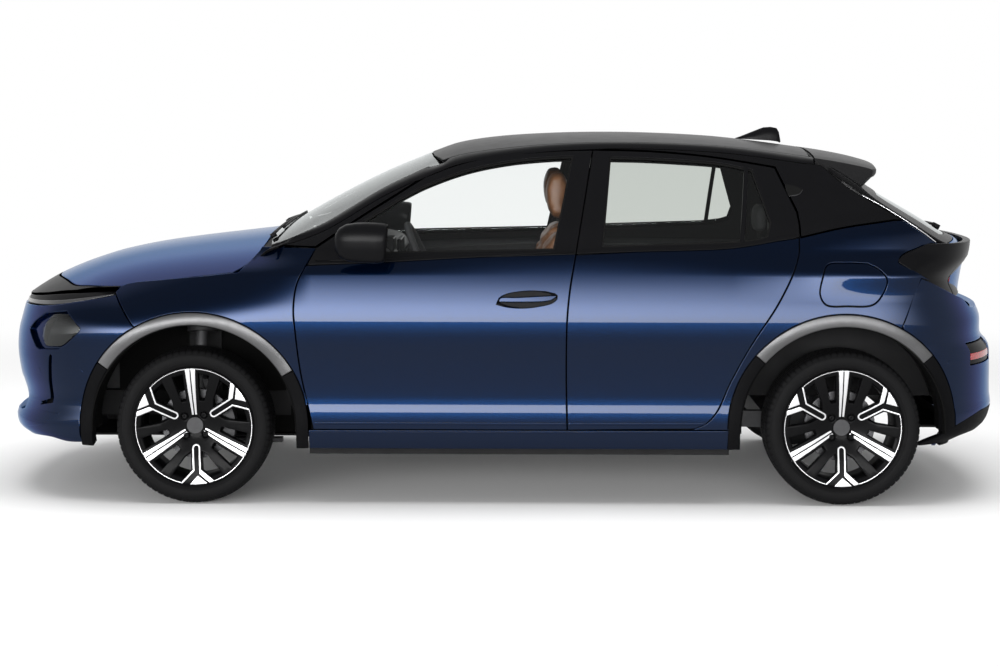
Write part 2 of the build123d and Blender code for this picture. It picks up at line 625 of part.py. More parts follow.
def hatch_point(row, share, depth):
    """A point of the tailgate: row 0 at the roof to 10 at the bumper, share -1 to 1 across."""
    y = share * hatch_half(row)
    fall = (abs(y) / 600) ** CROWN_POWER
    ahead, behind = max(row - 0.25, 0), min(row + 0.25, 10)
    dx, dz = hatch_x(behind) - hatch_x(ahead), hatch_z(behind) - hatch_z(ahead)
    size = math.hypot(dx, dz)
    x = hatch_x(row) - hatch_bow(row) * fall + dz / size * depth
    z = hatch_z(row) - hatch_crown(row) * fall - dx / size * depth
    return (X(x), Y(y), Z(z))


def hatch_grid(first, last, depth, width=1.0):
    return [[hatch_point(row, share, depth) for share in steps(-width, width, 0.2)]
            for row in steps(first, last, 10 / HATCH_ROWS)]


hatch_shell = slab_between(hatch_grid(0, 10, 0), hatch_grid(0, 10, HATCH_THICKNESS))
rear_glass_plan = ((1462, 520), (1560, 545), (1680, 560), (1770, 545))
rear_glass_foot = ((1770, 545), (1815, 380), (1838, 0), (1815, -380), (1770, -545))
rear_glass_head = ((1462, -520), (1480, 0), (1462, 520))
tail_window = plan_prism(rear_glass_head, rear_glass_plan, rear_glass_foot, flipped(rear_glass_plan))
tailgate = hatch_shell - tail_window
tailgate_glass = slab_between(hatch_grid(1, 6, 6, 0.97), hatch_grid(1, 6, 6 + GLASS_THICKNESS, 0.97))
tailgate_glass = tailgate_glass & plan_prism(
    tuple((x + 1, y * 0.9994) for x, y in rear_glass_head),
    tuple((x, y - 0.4) for x, y in rear_glass_plan),
    tuple((x - 0.5, y * 0.9992) for x, y in rear_glass_foot),
    flipped(tuple((x, y - 0.4) for x, y in rear_glass_plan)))

SPOILER_THICKNESS = 24
spoiler_height = curve((1220, 1393.5), (1330, 1378), (1440, 1357), (1525, 1334))


def spoiler_top(x, y):
    return spoiler_height(x) - upper_drop(x) * bulge(y)


spoiler_side = ((1238, 562), (1330, 566), (1440, 560), (1488, 545))
spoiler_edge = ((1488, 545), (1514, 330), (1520, 0), (1514, -330), (1488, -545))
spoiler = top_slab(spoiler_top, 1200, 1560, 0, SPOILER_THICKNESS) & plan_prism(
    ((1238, -562), (1238, 562)), spoiler_side, spoiler_edge, flipped(spoiler_side))
hatch_above = slab_between(hatch_grid(0, 6, -170, 0.97), hatch_grid(0, 6, -SEAT_GAP, 0.97))
spoiler = spoiler - slab_between(hatch_grid(0, 6, -3 * SEAT_GAP), hatch_grid(0, 6, 80))
ear = block((1400, -560, 1180), (1500, -530, 1345)) & hatch_above
spoiler = spoiler + ear + mirrored(ear)
HATCH_HINGE = (1229, 1386)
HATCH_HINGE_Y = 220
for side in (-HATCH_HINGE_Y, HATCH_HINGE_Y):
    notch = block((1195, side - 32, 1340), (1250, side + 32, 1420))
    roof_panel = roof_panel - notch
    tailgate = tailgate - block((1200, side - 14, 1330), (1252, side + 14, 1420))
    spoiler = spoiler - block((1200, side - 34, 1340), (1268, side + 34, 1420))
    for y in (side - 26, side + 15):
        ear_disc = cross_rod(HATCH_HINGE, y, y + 11, 8)
        tailgate = tailgate + ear_disc + block((1229, y, 1366), (1262, y + 11, 1380))
    tailgate = tailgate + cross_rod(HATCH_HINGE, side - 26, side + 26, HINGE_PIN)
    lug = cross_rod(HATCH_HINGE, side - 8, side + 8, 8)
    lug = lug + block((1140, side - 8, 1366), (1229, side + 8, 1380))
    lug = lug + block((1140, side - 8, 1366), (1192, side + 8, 1384))
    lug = lug - cross_rod(HATCH_HINGE, side - 12, side + 12, HINGE_PIN + SEAT_GAP)
    roof_panel = roof_panel + lug
blade_low = slab_between(hatch_grid(5.4, 7.2, -34), hatch_grid(5.4, 7.2, -SEAT_GAP))

# ---------------------------------------------------------------- tail lamps on the body
lamp_shell = end_shell(tail_tip, TAIL_START, 1, 780, 1060, 52)
corner_lamp = lamp_shell & side_prism(corner_lamp_line, -900, -612)
rear_bumper = rear_bumper - side_prism(grown(corner_lamp_line, SEAT_GAP), -900, -560)
rear_bumper = rear_bumper - side_prism(grown(corner_lamp_line, SEAT_GAP), 560, 900)
rear_bumper = rear_bumper - block((1700, -609, 766), (2100, 609, 1000))
tail_lamps = solids_of(corner_lamp, mirrored(corner_lamp), tail_lamp, mirrored(tail_lamp))

# ---------------------------------------------------------------- wheels
BEAD_RADIUS = 216
BARREL_WALL = 9
SPOKE_DEPTH = 34
SPOKE_FACE = 90
HUB_RADIUS = 74


def ring_profile(points):
    """Revolve a closed (radius, across) polygon about the wheel's own axis, which is Y."""
    wire = Wire([Edge.make_line(Vector(r, y, 0), Vector(r2, y2, 0))
                 for (r, y), (r2, y2) in zip(points, points[1:] + points[:1])])
    return Solid.revolve(Face(wire), 360, Axis.Y)


half_rim = RIM_WIDTH / 2
inner_radius = BEAD_RADIUS - BARREL_WALL
barrel = ring_profile([
    (RIM_RADIUS, -half_rim), (RIM_RADIUS, -half_rim + 8), (BEAD_RADIUS, -half_rim + 12),
    (BEAD_RADIUS, half_rim - 12), (RIM_RADIUS, half_rim - 8), (RIM_RADIUS, half_rim),
    (inner_radius + 8, half_rim), (inner_radius, half_rim - 10), (inner_radius, -half_rim + 14),
    (inner_radius + 10, -half_rim)])
face_plate = ring_profile([
    (HUB_BORE + SEAT_GAP, -SPOKE_FACE + 22), (HUB_BORE + SEAT_GAP, -SPOKE_FACE + 62),
    (HUB_RADIUS, -SPOKE_FACE + 62), (HUB_RADIUS + 14, -SPOKE_FACE + 46),
    (inner_radius + 2, -SPOKE_FACE + 34), (inner_radius + 2, -SPOKE_FACE), (HUB_RADIUS, -SPOKE_FACE + 14)])


def spoke_gap(turn):
    """One window of the wheel between a broad straight spoke and a forked one."""
    inner, outer = HUB_RADIUS + 22, inner_radius - 12
    corners = [(inner, 13), (outer, 9), (outer, 47), (inner + 26, 42)]
    points = [Vector(r * math.cos(math.radians(a + turn)), -200, r * math.sin(math.radians(a + turn)))
              for r, a in corners]
    edges = [Edge.make_line(a, b) for a, b in zip(points, points[1:] + points[:1])]
    return Solid.extrude(Face(Wire(edges)), Vector(0, 400, 0))


wheel = barrel + face_plate
for arm in range(3):
    base = 90 + arm * 120
    cutter = spoke_gap(base)
    wheel = wheel - cutter - mirror(cutter.rotate(Axis.Y, 2 * base), about=Plane.XY)
for bolt in range(4):
    angle = math.radians(45 + 90 * bolt)
    centre = (BOLT_CIRCLE / 2 * math.cos(angle), -SPOKE_FACE + 10, BOLT_CIRCLE / 2 * math.sin(angle))
    wheel = wheel - rod(centre, (centre[0], -SPOKE_FACE + 80, centre[2]), BOLT_HOLE / 2)
disc = ring_profile([(HUB_BORE + SEAT_GAP, -SPOKE_FACE + 62), (62, -SPOKE_FACE + 62), (62, -SPOKE_FACE + 76),
                     (DISC_RADIUS, -SPOKE_FACE + 76), (DISC_RADIUS, -SPOKE_FACE + 98),
                     (HUB_BORE + SEAT_GAP, -SPOKE_FACE + 98)])
wheel = wheel + disc
half_tyre = TYRE_WIDTH / 2
tyre_bead = BEAD_RADIUS + SEAT_GAP
tyre_side = half_rim - 12.5
tyre = ring_profile([
    (tyre_bead, -tyre_side), (RIM_RADIUS + 2, -tyre_side - 1), (RIM_RADIUS + 12, -half_tyre + 4),
    (RIM_RADIUS + 30, -half_tyre), (TYRE_RADIUS - 16, -half_tyre + 8), (TYRE_RADIUS - 3, -half_tyre + 26),
    (TYRE_RADIUS, -half_tyre + 48), (TYRE_RADIUS, half_tyre - 48), (TYRE_RADIUS - 3, half_tyre - 26),
    (TYRE_RADIUS - 16, half_tyre - 8), (RIM_RADIUS + 30, half_tyre), (RIM_RADIUS + 12, half_tyre - 4),
    (RIM_RADIUS + 2, tyre_side + 1), (tyre_bead, tyre_side)])


def at_wheel(shape, axle):
    """Put a wheel piece, made about the origin, at the left end of an axle."""
    return Pos(axle, -HALF_TRACK, TYRE_RADIUS) * shape


# ---------------------------------------------------------------- steering knuckles and axles
KINGPIN_FOOT = (690, 195)
KINGPIN_HEAD = (560, 800)
STUB_LENGTH = 118
PIN_RADIUS = 10
TOP_BEARING_GAP = 0.6
STRUT_RADIUS = 25


def kingpin(z):
    """The steering axis of the left knuckle, as (y, z)."""
    share = (z - KINGPIN_FOOT[1]) / (KINGPIN_HEAD[1] - KINGPIN_FOOT[1])
    return -(KINGPIN_FOOT[0] + share * (KINGPIN_HEAD[0] - KINGPIN_FOOT[0]))


def on_kingpin(z, radius, top):
    return rod((FRONT_AXLE, kingpin(z), z), (FRONT_AXLE, kingpin(top), top), radius)


hub_inner = -HALF_TRACK - SPOKE_FACE + 112
stub = rod((FRONT_AXLE, hub_inner - 78, TYRE_RADIUS), (FRONT_AXLE, -604, TYRE_RADIUS), HUB_BORE)
upright = block((-1245, -655, 222), (-1165, -608, 470))
upright = Pos(FRONT_AXLE - X(NOMINAL_FRONT_AXLE), 0, 0) * upright
strut = on_kingpin(430, STRUT_RADIUS, 780) + on_kingpin(655, 58, 765)
lower_lug = rod((FRONT_AXLE, -625, 235), (FRONT_AXLE, kingpin(225) , 225), 15)
ball_pin = on_kingpin(176, PIN_RADIUS, 240)
top_pin = on_kingpin(770, PIN_RADIUS, 812)
caliper = (ring_profile([(100, -36), (DISC_RADIUS + 14, -36), (DISC_RADIUS + 14, 40), (100, 40)])
           & Pos(75, -60, -60) * Box(200, 200, 140, align=(Align.MIN, Align.MIN, Align.MIN)))
disc_space = ring_profile([(30, -SPOKE_FACE + 70), (DISC_RADIUS + 6, -SPOKE_FACE + 70),
                           (DISC_RADIUS + 6, -SPOKE_FACE + 104), (30, -SPOKE_FACE + 104)])
caliper = at_wheel(caliper - disc_space, FRONT_AXLE)
caliper_arm = rod((FRONT_AXLE + 30, -632, TYRE_RADIUS), (FRONT_AXLE + 128, -716, TYRE_RADIUS), 12)
disc_clear = at_wheel(disc_space, FRONT_AXLE)
knuckle = (upright + strut + lower_lug + ball_pin + top_pin + caliper + caliper_arm) - disc_clear + stub

# ---------------------------------------------------------------- floor, bulkhead and front structure
CABIN_HALF = 639.7
FLOOR_Z = 232
FLOOR_SKIN = 6


def extruded(points, half, middle=0):
    """A block of one (x, z) polygon across the car, half to each side of the middle."""
    return side_prism(outline(*[(a, b) for a, b in zip(points, points[1:] + points[:1])]),
                      middle - half, middle + half)


floor_section = ((-862, 1060), (-862, 420), (-800, 240), (-740, FLOOR_Z), (520, FLOOR_Z), (640, 330),
                 (700, 400), (1850, 400), (1850, 745), (1838, 745), (1838, 412), (696, 412), (630, 342),
                 (514, 244), (-738, 244), (-792, 250), (-850, 424), (-850, 1060))
floor_pan = extruded(floor_section, CABIN_HALF)
COWL_DEPTH = 14
COWL_WALL = 26
floor_pan = floor_pan - top_slab(bonnet, -930, -800, COWL_DEPTH + COWL_WALL + 3 * SEAT_GAP, -200)
floor_pan = floor_pan - arch_prism(REAR_AXLE, ARCH_RADIUS, -900, -558)
floor_pan = floor_pan - arch_prism(REAR_AXLE, ARCH_RADIUS, 558, 900)
wheelhouse = arch_prism(REAR_AXLE, ARCH_RADIUS + 14, -CABIN_HALF, -552) - arch_prism(
    REAR_AXLE, ARCH_RADIUS, -CABIN_HALF - 60, -558)
wheelhouse = wheelhouse & block((900, -CABIN_HALF, 400), (1790, -500, 760))
tunnel = extruded(((-850, 244), (-850, 380), (300, 340), (420, 244)), 90)
floor_pan = floor_pan + wheelhouse + mirrored(wheelhouse) + tunnel
for y in (560, -660):
    floor_pan = floor_pan - block((1830, y, 600), (1860, y + 100, 760))
rail = block((-1888, -478, 300), (-862, -418, 400))
tower = block((-1270, -640, 795), (-1140, -478, 812)) + block((-1270, -490, 400), (-1140, -470, 812))
top_bearing = on_kingpin(760, PIN_RADIUS + TOP_BEARING_GAP, 830)
crash_beam = block((-1950, -300, 475), (-1880, 300, 560)) + block((-1900, -470, 475), (-1850, 470, 560))
crash_beam = crash_beam + block((-1880, -470, 400), (-1850, -418, 475))
crash_beam = crash_beam + block((-1880, 418, 400), (-1850, 470, 475))
radiator = block((-1880, -330, 300), (-1836, 330, 640))
radiator_frame = block((-1890, -478, 640), (-1826, 478, 664))
radiator_post = block((-1890, -478, 400), (-1836, -440, 640))
shelf = side_slab((-1560, 780), (-840, 850), FENDER_THICKNESS + SEAT_GAP, 260)
shelf = shelf & block((-1480, -900, 800), (-862, -470, 812))
shelf = shelf - (top_slab(bonnet, -1560, -930, -80, PANEL_THICKNESS + 86))
tower = tower + shelf
front_frame = rail + mirrored(rail) + tower + mirrored(tower) + crash_beam + radiator + radiator_frame
front_frame = front_frame + radiator_post + mirrored(radiator_post)
front_frame = front_frame - top_bearing - mirrored(top_bearing)
tow_y, tow_z = Y(TOW_PLACE[0]), Z(TOW_PLACE[1])
front_frame = front_frame - rod((X(-1950) - 1, tow_y, tow_z), (X(-1950) + TOW_HOLE_DEPTH, tow_y, tow_z),
                                TOW_HOLE_RADIUS)
front_bumper = front_bumper - rod((X(-2100), tow_y, tow_z), (X(-1951), tow_y, tow_z), TOW_COVER_RADIUS)
arm_eye = (on_kingpin(182, 24, 206) + block((-1225, -672, 186), (-1185, -420, 204))
           + block((-1225, -470, 186), (-900, -420, 204))) - on_kingpin(160, PIN_RADIUS + SEAT_GAP, 230)
arm_eye = Pos(FRONT_AXLE - X(NOMINAL_FRONT_AXLE), 0, 0) * arm_eye
subframe = block((-1300, -470, 230), (-1100, 470, 290)) + block((-1240, -470, 200), (-1180, -420, 235))
subframe = subframe + block((-1240, 420, 200), (-1180, 470, 235)) + arm_eye + mirrored(arm_eye)
for y in (-470, 425):
    subframe = subframe + block((-1290, y, 285), (-1110, y + 45, 299.7))

trailing_arm = block((930, -560, 270), (1400, -510, 335))
rear_stub = rod((REAR_AXLE, hub_inner - 78, TYRE_RADIUS), (REAR_AXLE, -515, TYRE_RADIUS), HUB_BORE)
spring_seat = block((1180, -520, 262), (1320, -390, 280))
spring = rod((X(1250), -Y(455), Z(280)), (X(1250), -Y(455), Z(399.6)), 48)
rear_arm = trailing_arm + rear_stub + spring_seat + spring
rear_axle = block((1050, -520, 262), (1130, 520, 335)) + rear_arm + mirrored(rear_arm)
rear_mount = block((915, -560, 320), (945, -510, 399.6))
rear_axle = rear_axle + rear_mount + mirrored(rear_mount)

engine = block((-1740, -400, 310), (-1330, 400, 740)) + block((-1330, -400, 310), (-1010, 120, 620))
for y in (-417.7, 390):
    engine = engine + block((-1600, y, 330), (-1500, y + 27.7, 390))
engine = engine - block((-1310, -500, 200), (-1090, 500, 300))
front_tray = block((-1825, -410, 205), (-1310, 410, 213)) + block((-1320, -410, 205), (-800, 410, 213))
front_tray = front_tray + block((-1700, -20, 213), (-1640, 20, 309.7))
side_tray = block((-760, -754, 186), (900, -560, 224.7)) + block((-700, -636, 224), (880, -580, 231.7))
rear_tray = block((1640, -500, 262), (1868, 500, 272)) + block((1700, -30, 270), (1760, 30, 399.7))

# ---------------------------------------------------------------- cabin
dashboard = extruded(((-849.7, 985), (-640, 1008), (-450, 985), (-395, 930), (-420, 800), (-540, 690),
                      (-849.7, 660)), CABIN_HALF - 2)
console = extruded(((-540, 690), (-420, 800), (-360, 620), (260, 560), (300, 341), (-834, 381),
                    (-849.7, 430), (-849.7, 660)), 105)
dashboard = dashboard + console
STEERING_CENTRE = (-315, -370, 905)
STEERING_RADIUS = 182
STEERING_TILT = 24
steer_plane = Plane(origin=Vector(X(STEERING_CENTRE[0]), Y(STEERING_CENTRE[1]), Z(STEERING_CENTRE[2])),
                    x_dir=(0, 1, 0),
                    z_dir=(math.cos(math.radians(STEERING_TILT)), 0, math.sin(math.radians(STEERING_TILT))))
steering_wheel = (Torus(STEERING_RADIUS, 15) + Pos(0, 0, -30) * Cylinder(52, 44)
                  + Pos(0, 0, -20) * Box(2 * STEERING_RADIUS - 10, 42, 14)
                  + Pos(0, STEERING_RADIUS / 2, -20) * Box(36, STEERING_RADIUS, 14)
                  + Pos(0, 0, -95) * Cylinder(16, 100))
steering_wheel = steer_plane * steering_wheel
column_hole = steer_plane * (Pos(0, 0, -140) * Cylinder(16 + SEAT_GAP, 110))
column_shroud = steer_plane * (Pos(0, 0, -135) * Cylinder(44, 66))
dashboard = (dashboard + column_shroud) - column_hole


def seat(middle):
    """One front seat: cushion, back and head restraint in one upholstered solid."""
    cushion = extruded(((-150, 420), (-160, 520), (-120, 560), (380, 500), (400, 400)), 250, middle)
    back = extruded(((240, 500), (180, 620), (165, 1000), (190, 1125), (275, 1135), (355, 900), (385, 520)),
                    235, middle)
    restraint = extruded(((172, 1160), (162, 1230), (182, 1300), (250, 1305), (276, 1240), (264, 1160)), 125,
                         middle)
    posts = extruded(((215, 1120), (215, 1170), (235, 1170), (235, 1120)), 60, middle)
    runner = extruded(((-100, 244.3), (-60, 430), (360, 430), (380, 244.3)), 200, middle)
    return cushion + back + restraint + posts + runner


front_seats = solids_of(seat(-365), seat(365))
bench = extruded(((640, 412.3), (610, 470), (600, 560), (660, 585), (1060, 540), (1100, 412.3)), 545)
bench_back = extruded(((1010, 560), (1085, 980), (1120, 1010), (1180, 1010), (1160, 560), (1110, 415)), 545)
rear_seat = bench + bench_back
for side in (-300, 300):
    rear_seat = rear_seat + extruded(((1085, 1000), (1075, 1110), (1100, 1150), (1150, 1150), (1170, 1100),
                                      (1160, 1000)), 120, side)

# ---------------------------------------------------------------- mirrors, cowl and steering
mirror_shell = side_prism(outline(((-636, 1040), (-612, 1082), (-555, 1106), (-490, 1100), (-448, 1068)),
                                  ((-438, 1010), (-452, 962), (-520, 946), (-600, 975), (-636, 1040))),
                          -1005, -880)
mirror_foot = side_prism(outline(((-640, 985), (-600, 1015)), ((-560, 1000), (-560, 975))), -890, -770)
mirror_shell = fillet(mirror_shell.edges(), 18)
door_outer = side_slab((-860, 800), (-300, 1250), -2 * SEAT_GAP, 200)
door_mirror = (mirror_shell + mirror_foot) - door_outer

cowl_plan = plan_prism(((-972, -690), (-957, -612), (-945, -475), (-942, 0), (-945, 475), (-957, 612),
                        (-972, 690)), ((-972, 690), (-850.5, 690)), ((-850.5, -690), (-972, -690)))
cowl = (top_slab(bonnet, -1040, -820, COWL_DEPTH, COWL_WALL) & cowl_plan) - screen_cut
hinge_room = [cross_rod(BONNET_HINGE, y, y + 60, 12) for y in (225, -285)]
for room in hinge_room:
    cowl = cowl - room
for y in (249, -261):
    bracket = cross_rod(BONNET_HINGE, y, y + 12, 5)
    bracket = bracket + block((-948, y, 1000), (-940, y + 12, 1034))
    pin_hole = cross_rod(BONNET_HINGE, y - 5, y + 20, HINGE_PIN + SEAT_GAP)
    cowl = cowl + bracket - pin_hole

# ---------------------------------------------------------------- nodes
def wheel_end(shape, axle, side):
    """A wheel piece at one end of an axle; the right side is the mirror of the left."""
    left = at_wheel(shape, axle)
    return left if side == "left" else mirrored(left)


os.makedirs("parts", exist_ok=True)
save("floor_pan", floor_pan)
save("roof_panel", roof_panel)
save("windscreen", windscreen)
save("front_frame", front_frame)
save("front_subframe", subframe)
save("rear_axle_beam", rear_axle)
save("engine_block", engine)
save("front_bumper", front_bumper)
save("rear_bumper", rear_bumper)
save("grille_bar", grille_bar)
save("front_lamps", head_lamps)
save("rear_lamps", tail_lamps)
save("front_wings", wing, mirrored(wing))
save("arch_trims", arch_trims)
save("arch_liners", front_liner, rear_liner, mirrored(front_liner), mirrored(rear_liner))
save("under_trays", front_tray, rear_tray, side_tray, mirrored(side_tray))
save("cowl_panel", cowl)
save("dashboard", dashboard)
save("front_seats", front_seats)
save("rear_seat", rear_seat)
save("steering_wheel", steering_wheel)
save("bonnet", bonnet_panel)
save("tailgate", tailgate)
save("tailgate_glass", tailgate_glass)
save("tailgate_spoiler", spoiler)
save("tailgate_blade", blade_low)
save("fuel_flap", fuel_flap)
for side, place in (("left", lambda shape: shape), ("right", mirrored)):
    save(f"body_side_{side}", place(body_side))
    save(f"front_door_{side}", place(front_door))
    save(f"rear_door_{side}", place(rear_door))
    save(f"front_door_glass_{side}", place(front_glass))
    save(f"rear_door_glass_{side}", place(rear_glass))
    save(f"door_mirror_{side}", place(door_mirror))
    save(f"knuckle_{side}", place(knuckle))
    for end, axle in (("front", FRONT_AXLE), ("rear", REAR_AXLE)):
        save(f"{end}_wheel_{side}", wheel_end(wheel, axle, side))
        save(f"{end}_tyre_{side}", wheel_end(tyre, axle, side))
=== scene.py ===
import bmesh
import bpy
import math
import numpy as np
from mathutils import Matrix, Vector
from mathutils.geometry import delaunay_2d_cdt
from mathutils.kdtree import KDTree


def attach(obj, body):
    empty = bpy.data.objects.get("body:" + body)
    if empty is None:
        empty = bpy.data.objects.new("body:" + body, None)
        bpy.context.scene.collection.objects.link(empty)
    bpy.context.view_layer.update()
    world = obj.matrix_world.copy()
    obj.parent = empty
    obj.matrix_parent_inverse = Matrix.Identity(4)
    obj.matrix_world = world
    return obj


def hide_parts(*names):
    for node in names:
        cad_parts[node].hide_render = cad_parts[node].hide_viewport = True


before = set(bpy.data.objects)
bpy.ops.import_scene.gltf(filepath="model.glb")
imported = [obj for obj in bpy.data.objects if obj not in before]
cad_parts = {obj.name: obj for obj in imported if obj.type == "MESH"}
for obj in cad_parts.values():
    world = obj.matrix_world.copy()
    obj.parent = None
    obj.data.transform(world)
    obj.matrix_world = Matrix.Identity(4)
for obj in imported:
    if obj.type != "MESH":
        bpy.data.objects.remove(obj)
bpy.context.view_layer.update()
scene = bpy.context.scene

# The shapes below are written in millimetres: +X rear, +Y the car's right, +Z up.
FRONT, REAR, HALF_TRACK, TYRE_R = -1205, 1335, 750, 305
ARCH, TRIM = 402, 50


# ---------------------------------------------------------------- smooth functions
def clamp(value, low=0.0, high=1.0):
    return max(low, min(high, value))


def ease(value):
    value = clamp(value)
    return value * value * (3 - 2 * value)


def curve(*knots):
    """A smooth function of one variable through (t, value) knots."""
    slopes = []
    for i, _ in enumerate(knots):
        t0, v0 = knots[max(i - 1, 0)]
        t1, v1 = knots[min(i + 1, len(knots) - 1)]
        slopes.append((v1 - v0) / (t1 - t0))

    def value(t):
        t = clamp(t, knots[0][0], knots[-1][0])
        i = 0
        while i < len(knots) - 2 and t > knots[i + 1][0]:
            i += 1
        (t0, v0), (t1, v1) = knots[i], knots[i + 1]
        step = t1 - t0
        u = (t - t0) / step
        return (v0 * (1 + 2 * u) * (1 - u) ** 2 + slopes[i] * step * u * (1 - u) ** 2
                + v1 * u * u * (3 - 2 * u) + slopes[i + 1] * step * u * u * (u - 1))

    return value


# ---------------------------------------------------------------- body surfaces
section = curve((150, 822), (230, 850), (320, 864), (430, 859), (550, 864), (650, 873), (720, 873),
                (800, 866), (900, 849), (960, 832), (1010, 810), (1100, 775), (1250, 702),
                (1380, 622), (1450, 560))
NOSE_START, TAIL_START = -1250, 1400
nose_tip = curve((150, -1830), (204, -1930), (245, -2018), (278, -2034), (318, -2025), (380, -1996),
                 (476, -2018), (560, -2028), (640, -2022), (700, -2006), (760, -1990), (860, -1960),
                 (1000, -1900))
tail_tip = curve((150, 1850), (239, 1905), (275, 1999), (350, 2036), (400, 2032), (542, 2028),
                 (600, 2020), (640, 1985), (718, 1978), (770, 1955), (830, 1930), (900, 1935),
                 (1000, 1960), (1100, 1960))
bonnet_line = curve((-1800, 790), (-1482, 853), (-1326, 876), (-1171, 891), (-1055, 903),
                    (-764, 938))
shoulder_roll = curve((-1800, 150), (-1482, 112), (-1055, 56), (-800, 12), (-740, 0))
haunch = curve((900, 0), (1160, 30), (1330, 78), (1530, 112), (1700, 112))
cabin_plan = curve((-950, 0.905), (-700, 0.95), (-400, 0.983), (0, 1.0), (600, 1.0), (1000, 0.987),
                   (1350, 0.955), (1700, 0.90), (1900, 0.85))
bonnet_height = curve((-2040, 735), (-1998, 772), (-1892, 841), (-1794, 887), (-1698, 922),
                      (-1613, 947), (-1468, 977), (-1296, 1002), (-1112, 1024), (-938, 1044),
                      (-850, 1052))
screen_height = curve((-1000, 1010), (-938, 1044), (-708, 1175), (-502, 1280), (-297, 1366))
roof_height = curve((-297, 1366), (-184, 1405), (-14, 1431), (198, 1445), (411, 1450), (623, 1447),
                    (836, 1437), (980, 1424), (1223, 1393), (1330, 1376))
bonnet_drop = curve((-2040, 125), (-1482, 110), (-1055, 95), (-850, 88))
upper_drop = curve((-1000, 46), (-909, 47), (-800, 66), (-674, 82), (-439, 70), (-224, 70), (0, 68),
                   (200, 60), (457, 56), (1000, 54), (1500, 60))
spoiler_height = curve((1220, 1393.5), (1330, 1378), (1440, 1357), (1525, 1334))


def corner(share):
    return (1 - clamp(share) ** 3) ** 0.4


def half_width(x, z):
    """Half width of the outer skin at station x and height z."""
    rise = ease((z - 900) / 100)
    width = section(z - haunch(x) * ease((z - 800) / 150) * (1 - ease((z - 1050) / 200)))
    width *= 1 + rise * (cabin_plan(x) - 1)
    if x < -740:
        share = clamp((z - bonnet_line(x) + 190) / 190, 0, 1.25)
        width -= shoulder_roll(x) * share ** 2.2 * (1 - ease((x + 1000) / 300) * rise)
    if x < NOSE_START:
        width *= corner((NOSE_START - x) / (NOSE_START - nose_tip(z)))
    if x > TAIL_START:
        width *= corner((x - TAIL_START) / (tail_tip(z) - TAIL_START))
    return width


def side(x, z):
    return (x, -half_width(x, z), z)


def crowned(height, drop):
    return lambda x, y: (x, y, height(x) - drop(x) * (abs(y) / 700) ** 2.3)


bonnet = crowned(bonnet_height, bonnet_drop)
screen = crowned(screen_height, upper_drop)
roof = crowned(roof_height, upper_drop)
spoiler_top = crowned(spoiler_height, upper_drop)

# The plan of the two ends of the car, as a curve whose parameter is close to its length.
_phi = np.linspace(0, math.pi / 2, 20001)
_c, _s = np.cos(_phi) ** (2 / 3), np.sin(_phi) ** (2 / 2.5)
_run = np.concatenate(([0], np.cumsum(np.hypot(np.diff(_c) * 780, np.diff(_s) * 864))))


def nose_half(z):
    """Half width of the nose's plan, which draws in towards the bonnet's edge."""
    return half_width(NOSE_START, z) - 118 * clamp((z - 663) / 190, 0, 1.2) ** 2.2


def tail_half(z):
    return half_width(TAIL_START, z)


def wrapped(start, tip, wide):
    """A surface round one end of the car, whose u runs from the middle and is negative to the left,
    and the function that gives u at a station x on the left side."""
    def surf(u, z):
        c, s = np.interp(abs(u), _run, _c), np.interp(abs(u), _run, _s)
        return (start + (tip(z) - start) * c, math.copysign(wide(z) * s, u), z)

    def u_at(x, z):
        return -float(np.interp(-clamp((x - start) / (tip(z) - start)), -_c, _run))

    return surf, u_at


wrap_front, front_u = wrapped(NOSE_START, nose_tip, nose_half)
wrap_rear, rear_u = wrapped(TAIL_START, tail_tip, tail_half)


def rear_at(y, z):
    """The u of an offset y on the tail at height z."""
    return math.copysign(float(np.interp(clamp(abs(y) / tail_half(z)), _s, _run)), y)


hatch_x = curve((0, 1236), (1, 1330), (2, 1440), (3, 1537), (4, 1714), (5, 1829), (6, 1900), (7, 1926),
                (8, 1917), (9, 1907), (10, 1903))
hatch_z = curve((0, 1387), (1, 1345), (2, 1284), (3, 1222), (4, 1121), (5, 1050), (6, 1012), (7, 960),
                (8, 890), (9, 825), (10, 778))
hatch_bow = curve((0, 0), (1, 8), (2, 25), (3, 45), (4, 75), (5, 95), (6, 115), (8, 130), (10, 122))
hatch_crown = curve((0, 42), (1, 40), (2, 38), (3, 34), (4, 22), (5, 14), (6, 8), (7, 0), (10, 0))
hatch_half = curve((0, 552), (1, 572), (2, 596), (3, 612), (4, 628), (5, 616), (6, 596), (7, 596),
                   (8, 604), (10, 600))
_rows = np.linspace(0, 10, 2001)
_hx, _hz = [np.array([f(r) for r in _rows]) for f in (hatch_x, hatch_z)]
_hrun = np.concatenate(([0], np.cumsum(np.hypot(np.diff(_hx), np.diff(_hz)))))


def hatch(v, y):
    """The tailgate's skin: v is the distance down it from the roof, y is across."""
    row = float(np.interp(v, _hrun, _rows))
    fall = (abs(y) / 600) ** 2.3
    return (hatch_x(row) - hatch_bow(row) * fall, y, hatch_z(row) - hatch_crown(row) * fall)


def hatch_v(row):
    return float(np.interp(row, _rows, _hrun))


